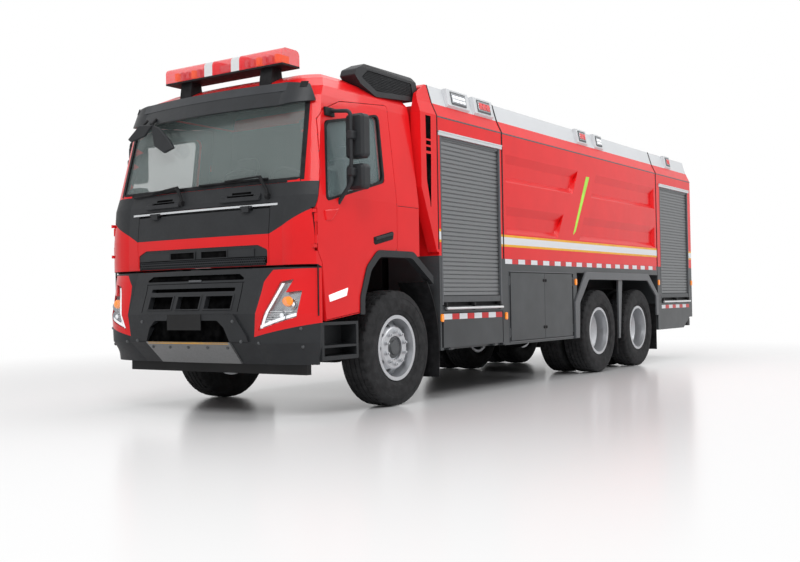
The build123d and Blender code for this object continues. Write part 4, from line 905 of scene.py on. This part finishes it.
def gaskets():
    """Rubber in the seams between the modules, and a grey painted line under the shoulder."""
    strips = [gasket_parts((seam - 3, seam + MODULE_GAP + 3), TANK_BOTTOM, 5)
              for seam in (SEAM_1, SEAM_2)]
    piece("seam_gaskets", both_sides(strips), SEAL, bevel=2)
    edge = gasket_parts((BODY_FRONT - 12, BODY_FRONT + 3), TANK_BOTTOM + 60, 3)
    piece("front_gasket", both_sides([edge]), SEAL, bevel=1)
    modules = ((BODY_FRONT + 2, SEAM_1 - 2), (SEAM_1 + MODULE_GAP + 3, SEAM_2 - 3),
               (SEAM_2 + MODULE_GAP + 3, BODY_REAR - 2))
    line = [on_side(y, (SIDE_TOP - 16, SIDE_TOP - 2), 2.5) for y in modules]
    piece("shoulder_line", both_sides(line), ARCH_GREY, bevel=1)


# Shutters: guides, caps and lift bars

def shutter_frames():
    """Guides beside the shutters and caps over them."""
    bright = []
    dark = []
    for start, end in (FRONT_SHUTTER, REAR_SHUTTER):
        high = (SHUTTER_BOTTOM - 30, SHUTTER_TOP)
        wide = (start - 36, end + 34)
        dark.append(box_parts((SIDE - 60, SIDE + 3), (start - 2, start + GUIDE), high))
        dark.append(box_parts((SIDE - 60, SIDE + 3), (end - GUIDE, end + 2), high))
        dark.append(box_parts((SIDE - 60, SIDE - 6), (start + GUIDE, end - GUIDE),
                              (SHUTTER_TOP - 26, SHUTTER_TOP)))
        bright.append(box_parts((SIDE - 2, SIDE + 14), wide, (SHUTTER_TOP, SHUTTER_TOP + 42)))
        bright.append(box_parts((SIDE - 2, SIDE + 20), wide, (SHUTTER_TOP + 30, SHUTTER_TOP + 44)))
    piece("shutter_guides", both_sides(dark), ARCH_GREY, bevel=2)
    piece("shutter_caps", both_sides(bright), WHITE, bevel=2, slot="bright_metal")


def shutter_bars():
    """Blocks that carry the lift bars, and the sills under the shutters."""
    blocks = []
    sills = []
    for start, end in (FRONT_SHUTTER, REAR_SHUTTER):
        for y in (start + 60, (start + end) / 2, end - 60):
            blocks.append(box_parts((SIDE - 40, SIDE + 20), (y - 14, y + 14),
                                    (SHUTTER_BOTTOM - 84, SHUTTER_BOTTOM - 4)))
        sills.append(box_parts((SIDE - 62, SIDE - 40), (start + 24, end - 24),
                               (SHUTTER_BOTTOM - 40, SHUTTER_BOTTOM - 2)))
    piece("shutter_bar_blocks", both_sides(blocks), BLACK_STEEL, bevel=3)
    piece("shutter_sills", both_sides(sills), SEAL, bevel=2)


# Locker doors and flaps

def latch_parts(y, z):
    """Round latch with a turned grip, on the left."""
    knob = lathe_parts([(0, 19), (5, 19), (8, 15), (8, 0.5), (0, 0.5)], (SIDE - 1, y, z), 20)
    return [knob, box_parts((SIDE + 5, SIDE + 13), (y - 4, y + 4), (z - 14, z + 14))]


def locker_fittings():
    """Two latches on each locker door, and the frame round the doors."""
    for side in SIDES:
        for door, y in LATCH_Y.items():
            parts = on_hand(latch_parts(y, 640) + latch_parts(y, 1180), side)
            piece("latches_%s_%s" % (door, side), parts, BLACK_STEEL, "locker_%s_%s" % (door, side), 1)
    frames = [on_side((2085, 3735), (1270, 1280), 4), on_side((2085, 3735), (494, 504), 4),
              on_side((2066, 2074), (494, 1280), 4)]
    piece("locker_frames", both_sides(frames), ARCH_GREY, bevel=1.5)


# Roof lamps

def lean(u, z):
    """Outer x of a roof lamp housing at a height."""
    t = (z - (SHOULDER_TOP + 22)) / (COVE_TOP + 6 - SHOULDER_TOP - 22)
    return SIDE - SHOULDER_IN + 24 - 30 * t + u


def lamp_plate(y, z, lift, sink):
    """A plate on the leaning face of a roof lamp."""
    return shell_parts(y, z, lambda u, v, layer: spot(lean(lift if layer else -sink, v), u, v))


def roof_lamp_faces():
    """Lens and frame on each housing: clear cells for work lamps, red bars for strobes; and a dome."""
    frames = []
    clear = []
    backs = []
    red = []
    for start, length, kind in ROOF_LAMPS:
        y = (start + 0.16 * length, start + 0.84 * length)
        z = (SHOULDER_TOP + 40, COVE_TOP - 14)
        frames.append(lamp_plate(y, z, 9, 3))
        y = (y[0] + 16, y[1] - 16)
        z = (z[0] + 14, z[1] - 14)
        backs.append(lamp_plate(y, z, 12, 0))
        cells = steps(*y, 4 if kind == "work" else 3)
        for left, right in zip(cells, cells[1:]):
            if kind == "strobe":
                red.append(lamp_plate((left + 10, right - 8), (z[0] + 16, z[1] - 16), 18, 0))
                continue
            for low in (z[0] + 14, z[0] + 52):
                clear.append(lamp_plate((left + 6, right - 6), (low, low + 30), 17, 0))
    piece("roof_lamp_frames", both_sides(frames), CAST, bevel=4)
    piece("roof_work_lenses", both_sides(clear), WHITE_LENS, bevel=3)
    piece("roof_strobe_faces", both_sides(backs), CHROME, bevel=3, slot="cast_metal")
    piece("roof_strobe_bars", both_sides(red), RED_LENS, bevel=3)
    x, y = DOME_PLACE
    dome = [ball_parts((x, y, SHOULDER_TOP + 190), (62, 62, 50)),
            box_parts((x - 25, x + 25), (y - 25, y + 25), (SHOULDER_TOP, COVE_TOP))]
    piece("roof_dome", dome, SEAL, smooth=True)


# Cab front

def front_strips():
    """White strip on the lid, the visor's inset and its corner lamps."""
    piece("white_strip", [on_cab(steps(-886, 886, 24), (1796, 1814), 7, 6)], WHITE, "front_lid", 1.5)
    inset = on_skin(visor_front, steps(-880, 880, 20), steps(2782, 2860, 3), 3)
    piece("visor_inset", [inset], VISOR_LIGHT, bevel=2)
    lamps = [on_skin(visor_front, steps(x - 26, x + 26, 3), steps(2806, 2858, 3), 4)
             for x in (-1030, 1030)]
    piece("visor_corner_lamps", lamps, SEAL, bevel=2)


def screen_rubber():
    """Dark rubber and edge print beside and under the windscreen."""
    edge = list(zip(steps(SCREEN_LOW[0], SCREEN_HIGH[0], 12), steps(SCREEN_LOW[1], SCREEN_HIGH[1], 12)))
    parts = []
    for side in (-1, 1):
        for (xa, za), (xb, zb) in zip(edge, edge[1:]):
            corners = []
            for lift in (-4, 3):
                for x, z in ((xa - 26, za), (xa + 14, za), (xb + 14, zb), (xb - 26, zb)):
                    corners.append(spot(side * x, cab_front(x, z) - lift, z))
            parts.append((corners, stack_faces(4)))
    piece("screen_rubber", parts, SEAL)
    half = SCREEN_LOW[0] - 12
    foot = on_cab(steps(-half, half, 24), (SCREEN_LOW[1] - 14, SCREEN_LOW[1] + 24), 3, 20)
    piece("screen_foot", [foot], SEAL)


def wiper(name, pivot, elbow, tip):
    """Cranked arm from its pivot up to the elbow, and a long blade along the foot of the windscreen."""
    def at(x, z, lift):
        return (x, cab_front(x, z) - lift, z)

    def along(t, drop, lift):
        return at(elbow[0] + (tip[0] - elbow[0]) * t, elbow[1] + (tip[1] - elbow[1]) * t - drop, lift)

    tube(name + "_arm", [[at(*pivot, 22), at(pivot[0] - 6, pivot[1] + 50, 34), at(*elbow, 44)]], 15, SEAL)
    tube(name + "_lever", [[at(*elbow, 44), along(0.55, 12, 30)]], 9, SEAL)
    tube(name + "_blade", [[along(t, 22, 16) for t in steps(-0.1, 1, 10)]], 9, SEAL)
    knuckle = lathe_parts([(-18, 24), (18, 24), (18, 0.5), (-18, 0.5)], at(*pivot, 18), 16)
    piece(name + "_pivot", [knuckle], SEAL, bevel=3)


def wipers():
    for name, points in WIPERS.items():
        wiper(name, *points)


def front_handles():
    """Two broad grab handles on the dark panel under the windscreen, each with a painted-shade slot over it
    and a patch of painted shade behind its bar.
    """
    bars = []
    slots = []
    for x in HANDLES_X:
        start = x - HANDLE_HALF
        end = x + HANDLE_HALF
        bars.append(on_cab(steps(start, end, 10), (1848, 1886), 30, -16))
        bars.append(on_cab(steps(start, x - 150, 3), (1848, 1908), 18, 6))
        bars.append(on_cab(steps(x + 150, end, 3), (1848, 1908), 18, 6))
        # Painted shade: a near-black slot over each handle and a near-black patch behind its bar.
        slots.append(on_cab(steps(x - 105, x + 105, 5), (1912, 1930), 2, 4))
        slots.append(on_cab(steps(x - 148, x + 148, 5), (1850, 1905), 1, 4))
    piece("front_handles", bars, DARK, bevel=6, segments=3)
    piece("front_handle_slots", slots, PAINTED_SHADE)


def honeycomb_parts(x_range, z_range, pitch, skin):
    """Rows of six-sided rings on a front skin."""
    rise = pitch * HEX_RISE
    outer = pitch * 0.56
    inner = pitch * 0.4
    rings = ((0.5, outer), (5, outer * 0.94), (5, inner), (0.5, inner))
    parts = []
    for row in range(int((z_range[1] - z_range[0]) / rise)):
        z = z_range[0] + (row + 0.5) * rise
        for column in range(int((x_range[1] - x_range[0]) / pitch)):
            x = x_range[0] + (column + 0.5 + 0.5 * (row % 2)) * pitch
            if x > x_range[1] - inner:
                continue
            corners = []
            for lift, r in rings:
                for c, s in turns(6, 0.5):
                    corners.append(spot(x + r * c, skin(x + r * c, z + r * s) - lift, z + r * s))
            parts.append((corners, net_faces(len(rings), 6, True)))
    return parts


def grille_mesh():
    """Painted-shade ground behind the honeycomb of the upper grille, its two framed mouths filled with
    painted shade, and the lower grille's windows over a painted-shade back.
    """
    # Painted shade: a near-black ground behind the honeycomb, and near-black plates in the two mouths.
    piece("grille_shade_ground", [on_cab(steps(-780, 780, 24), (1292, 1368), 1, 4)], PAINTED_SHADE, "front_lid")
    comb = honeycomb_parts((-776, 776), (1296, 1366), 25, cab_front)
    piece("grille_honeycomb", comb, VISOR_LIGHT, "front_lid")
    mouths = []
    frames = [on_cab(steps(*x, 6), (1371, 1438), 3, 4) for x in CHEEKS]
    for x in MOUTHS:
        mouths.append(on_cab(steps(*x, 8), (1376, 1432), 1, 4))
        frames += frame_bars(cab_front, x, (1368, 1441), 9, 10, (0, 12), 8, 6, 3)
    piece("grille_mouths", mouths, PAINTED_SHADE, "front_lid")
    piece("grille_frames", frames, DARK, "front_lid", 2)
    # Painted shade: a near-black plate sunk behind the lower grille's windows makes them look deep.
    piece("lower_grille_shade_back", [on_bumper(steps(-560, 560, 12), (915, 1125), -60, 64)], PAINTED_SHADE)
    rings = []
    for x in LOWER_WINDOWS:
        rings += frame_bars(bumper_front, x, (920, 1052), 12, 14, (-2, 14), 5, 7, 2)
    piece("lower_grille_rings", rings, DARK, bevel=4, segments=3)
    comb = honeycomb_parts((-430, 430), (1180, 1222), 21, lambda x, z: bumper_front(x, z) + 30)
    piece("ledge_honeycomb", comb, VISOR_LIGHT)


def bumper_details():
    """Bolts on the bumper, the skid plate's strip, the ledge's latch and the panel lines, which are thin
    strips of painted shade.
    """
    heads = []
    for x, z, proud in PAIRED_BOLTS:
        for side in (-1, 1):
            heads.append(bolt_parts(side * x, bumper_front(x, z) - proud, z))
    for x in SKID_BOLTS_X:
        heads.append(bolt_parts(x, bumper_front(x, SKID_BOLTS_Z) - FRAME_PROUD, SKID_BOLTS_Z))
    piece("bumper_bolts", heads, CAST, bevel=1)
    strip = on_bumper(steps(-490, 490, 14), (630, 645), FRAME_PROUD + 2, 2 - FRAME_PROUD)
    piece("skid_strip", [strip], YELLOW_TAPE, bevel=1, slot="bright_metal")
    latch = on_bumper(steps(-40, 110, 3), (1166, 1184), 10, 4)
    piece("ledge_latch", [latch], ARCH_GREY, bevel=4, slot="dark_plastic")
    # Painted shade: the panel lines are thin near-black strips.
    lines = [on_bumper(steps(-600, 600, 12), (1152, 1157), 0.8, 3)]
    for x in (-585, 585):
        lines.append(on_bumper((x - 3, x + 3), steps(905, 1152, 4), 0.8, 3))
    piece("bumper_lines", lines, PAINTED_SHADE)


def bolt_parts(x, y, z):
    """Hexagon bolt head on a washer, facing forwards."""
    corners, faces = dish_parts(BOLT_RINGS, (x, y, z), 6, False)
    last = len(corners) - 1
    return corners, [tuple(range(6)), tuple(range(last, last - 6, -1))] + faces


def headlamp_insides():
    """Bowls, bulbs, fins, turn units, light strips and backs behind the clear covers."""
    bowls = []
    bulbs = []
    for x, z, r in BOWLS:
        y = bumper_front(x, z) + 40
        bowls.append(bowl_parts((x, y, z), r))
        bulbs.append(ball_parts((x, y - 6, z), (r * 0.42, 10, r * 0.42), 8, 16))
    piece("headlamp_bowls", both_sides(bowls), CHROME, smooth=True)
    piece("headlamp_bulbs", both_sides(bulbs), WHITE_LENS, smooth=True)
    fins = [on_bumper((860 + (z - 790) * 0.5, 1095), (z, z + 4), -18, 44) for z in steps(790, 900, 6)]
    piece("headlamp_fins", both_sides(fins), BRIGHT)
    x, z = TURN_UNIT
    unit = ball_parts((x, bumper_front(x, z) + 34, z), (60, 16, 44), 8, 16)
    piece("headlamp_turn_units", both_sides([unit]), AMBER, smooth=True)
    strips = [lamp_strip(STRIP_CORNER, STRIP_TOP, (24, 0), 8),
              lamp_strip(STRIP_CORNER, STRIP_END, (0, 24), 6)]
    piece("headlamp_strips", both_sides(strips), WHITE_LENS, bevel=1.5)
    back = on_bumper(steps(820, 1130, 8), steps(760, 1140, 6), -47, 49)
    piece("headlamp_backs", both_sides([back]), CHROME)


def bowl_parts(centre, radius):
    """A dished ring facing forwards."""
    rings = [(-14, radius), (-14, radius - 4), (4, radius * 0.5), (6, 1), (10, 1), (10, radius * 0.6),
             (-6, radius)]
    return dish_parts(rings, centre, 28, True)


def lamp_strip(start, end, width, count):
    """A light strip on the bumper skin from start to end (x, z), widened by width."""
    def place(t, side, layer):
        x = start[0] + (end[0] - start[0]) * t + side * width[0]
        z = start[1] + (end[1] - start[1]) * t + side * width[1]
        return spot(x, bumper_front(x, z) + (6 if layer else 14), z)

    return shell_parts(steps(0, 1, count), (0, 1), place)


# Doors

def rounded(points, reach, count=6):
    """A closed outline with each corner swept from reach before it to reach after it."""
    path = []
    for i, corner in enumerate(points):
        ends = []
        for other in (points[i - 1], points[(i + 1) % len(points)]):
            share = reach / math.dist(corner, other)
            ends.append([c + (o - c) * share for c, o in zip(corner, other)])
        for t in steps(0, 1, count):
            weights = ((1 - t) ** 2, 2 * t * (1 - t), t * t)
            path.append([sum(w * v for w, v in zip(weights, values))
                         for values in zip(ends[0], corner, ends[1])])
    return path


def window_frame(width):
    """Rubber seal round the left door window."""
    middle = [sum(values) / len(WINDOW) for values in zip(*WINDOW)]
    inset = []
    for corner in WINDOW:
        share = width * 1.5 / math.dist(corner, middle)
        inset.append([c + (m - c) * share for c, m in zip(corner, middle)])
    outer = rounded(WINDOW, 75)
    inner = rounded(inset, 60)
    parts = []
    for ring in zip(outer, outer[1:] + outer[:1], inner[1:] + inner[:1], inner):
        corners = [spot(cab_side(z) + out, y, z) for out in (-24, 3) for y, z in ring]
        parts.append((corners, stack_faces(4)))
    return parts


def door_fittings():
    """Seals, handles, lamps and mirror parts, made for the left door and mirrored for the right."""
    glass_x = (MIRROR_X - MIRROR_HALF + 14, MIRROR_X + MIRROR_HALF - 14)
    glasses = [box_parts(glass_x, (-792, -786), z) for z in MIRROR_GLASS_Z]
    clamp_x = (MIRROR_X - 34, MIRROR_X + 34)
    clamps = [box_parts(clamp_x, (-952, -880), (z - 38, z + 38)) for z in MIRROR_CLAMP_Z]
    fittings = [
        ("window_seal", window_frame(22), SEAL, 0, 2),
        ("handle_recess", [side_parts(HANDLE_RECESS, (1240, 1248))], SEAL, 6, 2),
        ("handle_bar", [side_parts(HANDLE_BAR, (1243, 1263))], DARK, 5, 2),
        ("door_indicator", [side_parts(DOOR_LAMP, (1240, 1253))], WHITE_LENS, 10, 3),
        ("mirror_glass", glasses, BRIGHT, 3, 2),
        ("mirror_bracket", [on_door(steps(-1030, -905, 3), (2560, 2636), 22)], SEAL, 6, 2),
        ("mirror_clamps", clamps, DARK, 16, 3),
        ("door_edge_seal", [on_door((-1246, -1230), steps(862, 1290, 5), 0.6, 3)], SEAL, 0, 2),
        ("mirror_foot", [side_parts(MIRROR_FOOT, (1236, 1256))], RED, 9, 3),
    ]
    for side in SIDES:
        for name, parts, material, bevel, segments in fittings:
            piece(name + "_" + side, on_hand(parts, side), material, "door_" + side, bevel, segments)


def light_bar_insides():
    """Rows of lamp blocks and reflectors inside the light bar's lenses."""
    ambers = []
    mirrors = []
    low = LIGHT_BAR_FLOOR + 24
    for side in (-1, 1):
        for i in range(6):
            x = side * (0.36 + 0.1 * i) * LIGHT_BAR_HALF
            row = ambers if i in (2, 5) else mirrors
            row.append(box_parts((x - 22, x + 22), (-1010, -860), (low, low + 72)))
    mirrors.append(box_parts((-80, 80), (-1000, -870), (low, low + 66)))
    piece("light_bar_ambers", ambers, AMBER, bevel=4)
    piece("light_bar_reflectors", mirrors, CHROME, bevel=6)


def cab_side_trim():
    """Seam lines behind the doors, dark slits of the corner fairings drawn as flat plates of painted shade,
    and the intake's mesh.
    """
    piece("cab_side_seams", both_sides([on_door(steps(-60, 290, 2), (1846, 1850), 1)]), SEAL)
    # Painted shade: the slits are flat near-black plates on the panel.
    slits = [side_parts(points, (SIDE - 2, SIDE + 1)) for points in FAIRING_SLITS]
    piece("fairing_slits", both_sides(slits), PAINTED_SHADE)
    wires = []
    for i in range(52):
        y = -395 + i * MESH_PITCH
        low = 2915 + max(0, -190 - y) * 0.38 + max(0, y) * 0.07
        wires.append(box_parts((INTAKE_FACE - 11, INTAKE_FACE - 8), (y, y + MESH_WIRE), (low, 3068)))
    for i in range(10):
        z = 2925 + i * MESH_PITCH
        start = -190 - (z - 2912) * 2.5 if z < 2990 else -400 + (z - 2990) * 0.9
        wires.append(box_parts((INTAKE_FACE - 9, INTAKE_FACE - 6), (start, 395), (z, z + MESH_WIRE)))
    piece("intake_mesh", wires, DARK)


def front_mirror():
    """Wing mirror and a round-edged mirror hung under the right end of the visor."""
    piece("front_mirror_wing", [front_parts(MIRROR_WING, (-1345, -1315))], DARK, bevel=12, segments=3)
    piece("front_mirror_shield", [front_parts(MIRROR_SHIELD, (-1330, -1295))], DARK, bevel=14, segments=3)
    arms = [[(-640, -1318, 2640), (-640, -1255, 2700)], [(-760, -1325, 2630), (-760, -1255, 2700)]]
    tube("front_mirror_arms", arms, 12, SEAL)


# Seats

def pad_parts(centre, half, bulge, tilt, grid=10):
    """A crowned cushion: a block whose faces swell between its corners."""
    corners = {}
    order = []
    faces = []
    lean_cos = math.cos(math.radians(tilt))
    lean_sin = math.sin(math.radians(tilt))

    def swell(p, q):
        return math.sqrt(1 - bulge * (p * p + q * q) / 2 + bulge * bulge * p * p * q * q / 3)

    def corner(key):
        if key not in corners:
            a, b, c = [2 * k / grid - 1 for k in key]
            groove = 0.05 * math.exp(-((abs(a) - 0.55) / 0.07) ** 2)
            x = a * swell(b, c) * half[0]
            y = b * swell(a, c) * half[1] * (1 - groove)
            z = c * swell(a, b) * half[2] * (1 - groove)
            corners[key] = len(order)
            order.append(spot(centre[0] + x, centre[1] + y * lean_cos - z * lean_sin,
                              centre[2] + y * lean_sin + z * lean_cos))
        return corners[key]

    for axis in range(3):
        for end in (0, grid):
            for i in range(grid):
                for j in range(grid):
                    quad = []
                    for di, dj in ((0, 0), (1, 0), (1, 1), (0, 1)):
                        key = [0, 0, 0]
                        key[axis] = end
                        key[(axis + 1) % 3] = i + di
                        key[(axis + 2) % 3] = j + dj
                        quad.append(corner(tuple(key)))
                    faces.append(tuple(quad))
    return order, faces


def seats():
    """Sprung seats: cushion, back, head rest and side bolsters on a boxed base."""
    for side in SIDES:
        x = SEAT_X * side_sign(side)
        for name, shifts, y, z, half, bulge, tilt in SEAT_PADS:
            parts = [pad_parts((x + shift, y, z), half, bulge, tilt) for shift in shifts]
            pad = piece("seat_%s_%s" % (name, side), parts, CLOTH, smooth=True)
            soft = pad.modifiers.new("round", "SUBSURF")
            soft.levels = 1
            soft.render_levels = 1
            if name == "cushion" and side == "left":
                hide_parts("seats")
        base = [box_parts((x - 190, x + 190), (-400, -70), (1461, 1640)),
                box_parts((x - 215, x + 215), (-520, -60), (1630, 1662))]
        piece("seat_base_" + side, base, INSIDE, bevel=12)
        posts = [[(x + shift, -40, 2290), (x + shift, -30, 2350)] for shift in (-60, 60)]
        tube("seat_posts_" + side, posts, 7, BRIGHT)


def cab_inside():
    """Instrument panels seen through the glass."""
    driver = side_parts([(-935, 1905), (-905, 1800), (-895, 1805), (-925, 1912)], (480, 800))
    middle = side_parts([(-955, 1900), (-905, 1790), (-895, 1795), (-945, 1905)], (-150, 180))
    piece("instrument_panels", [driver, middle], SEAL, bevel=4)


def rear_details():
    """Frame round the tail shutter and the tail lamps' lenses."""
    y = (BODY_REAR - 2, BODY_REAR + 8)
    bars = [box_parts((-665, -640), y, (1120, 2620)), box_parts((640, 665), y, (1120, 2620)),
            box_parts((-665, 665), y, (2596, 2640)), box_parts((-665, 665), y, (1112, 1138))]
    piece("tail_frame", bars, BRIGHT, bevel=3)
    lenses = [box_parts((x, x + 70), (BODY_REAR + 40, BODY_REAR + 52), (908, 1002))
              for x in TAIL_LENSES_X]
    piece("tail_lenses_red", both_sides(lenses[:2]), RED_LENS, bevel=6)
    piece("tail_lenses_amber", both_sides(lenses[2:]), AMBER, bevel=6, slot="lamp_red")


finish_details()
tyres()
wheel_fittings()
stripes()
tapes()
gaskets()
shutter_frames()
shutter_bars()
locker_fittings()
roof_lamp_faces()
front_strips()
screen_rubber()
wipers()
front_handles()
grille_mesh()
bumper_details()
headlamp_insides()
door_fittings()
light_bar_insides()
cab_side_trim()
front_mirror()
seats()
cab_inside()
rear_details()


# Camera and light

def look(camera_place, azimuth, pitch, roll, focal_pixels):
    """Camera at a measured place, turned by azimuth, pitch and roll."""
    a = math.radians(azimuth)
    e = math.radians(pitch)
    r = math.radians(roll)
    forward = Vector((-math.sin(a) * math.cos(e), math.cos(a) * math.cos(e), math.sin(e)))
    right = Vector((math.cos(a), math.sin(a), 0))
    up = right.cross(forward)
    turned_right = math.cos(r) * right + math.sin(r) * up
    turned_up = -math.sin(r) * right + math.cos(r) * up
    data = bpy.data.cameras.new("camera")
    data.sensor_fit = "HORIZONTAL"
    data.sensor_width = SENSOR_WIDTH
    data.lens = focal_pixels / PHOTO_WIDTH * SENSOR_WIDTH
    data.clip_end = 200
    camera = bpy.data.objects.new("camera", data)
    turn = Matrix((turned_right, turned_up, -forward)).transposed().to_4x4()
    camera.matrix_world = Matrix.Translation(spot(*camera_place)) @ turn
    bpy.context.scene.collection.objects.link(camera)
    bpy.context.scene.camera = camera


def area_lamp(name, place, target, size, power):
    data = bpy.data.lights.new(name, "AREA")
    data.energy = power
    data.shape = "RECTANGLE"
    data.size = size[0]
    data.size_y = size[1]
    lamp = bpy.data.objects.new(name, data)
    lamp.location = place
    lamp.rotation_euler = (Vector(target) - Vector(place)).to_track_quat("-Z", "Y").to_euler()
    bpy.context.scene.collection.objects.link(lamp)


def seen_factor(tree):
    """One for rays that the camera sees, in gloss and through glass too."""
    path = tree.nodes.new("ShaderNodeLightPath")
    factor = path.outputs["Is Camera Ray"]
    for kind in ("Is Glossy Ray", "Is Transmission Ray"):
        larger = tree.nodes.new("ShaderNodeMath")
        larger.operation = "MAXIMUM"
        factor = feed(tree, larger, {0: factor, 1: path.outputs[kind]}).outputs[0]
    return factor


def world_light():
    """White surroundings for the eye, softer light for the object."""
    world = bpy.data.worlds.new("studio")
    bpy.context.scene.world = world
    world.use_nodes = True
    tree = world.node_tree
    white = (1, 1, 1, 1)
    light = feed(tree, tree.nodes["Background"], {"Color": white, "Strength": WORLD_LIGHT}).outputs[0]
    seen = feed(tree, tree.nodes.new("ShaderNodeBackground"), {"Color": white, "Strength": 1}).outputs[0]
    mix = feed(tree, tree.nodes.new("ShaderNodeMixShader"), {"Fac": seen_factor(tree), 1: light, 2: seen})
    feed(tree, tree.nodes["World Output"], {"Surface": mix.outputs[0]})


def studio_floor():
    """Pale floor that keeps the shadow and a faint reflection."""
    finish = Finish("floor")
    finish.give({"Base Color": (0.9, 0.9, 0.91, 1), "Roughness": 0.2, "Specular IOR Level": 0.4})
    distance = finish.add("VectorMath", {0: finish.add("TexCoord", {}).outputs["Object"]})
    distance.operation = "LENGTH"
    near, far = FLOOR_FADE
    fade = finish.add("MapRange", {"Value": distance.outputs["Value"], "From Min": near, "From Max": far})
    fade.interpolation_type = "SMOOTHSTEP"
    bright = finish.add("Emission", {}).outputs["Emission"]
    mix = finish.add("MixShader", {"Fac": fade.outputs["Result"], 1: finish.target.outputs["BSDF"],
                                   2: bright})
    feed(finish.tree, finish.tree.nodes["Material Output"], {"Surface": mix.outputs[0]})
    size = FLOOR_HALF
    mesh = bpy.data.meshes.new("floor")
    mesh.from_pydata([(-size, -size, 0), (size, -size, 0), (size, size, 0), (-size, size, 0)], [],
                     [(0, 1, 2, 3)])
    floor = bpy.data.objects.new("floor", mesh)
    floor.location.z = -0.001
    bpy.context.scene.collection.objects.link(floor)
    floor.data.materials.append(finish.material)


def lighting():
    world_light()
    studio_floor()
    for name, values in LAMPS.items():
        area_lamp(name, *values)
    bpy.context.scene.view_settings.view_transform = "Standard"


look(CAMERA_PLACE, *CAMERA_TURN, FOCAL_PIXELS)
lighting()
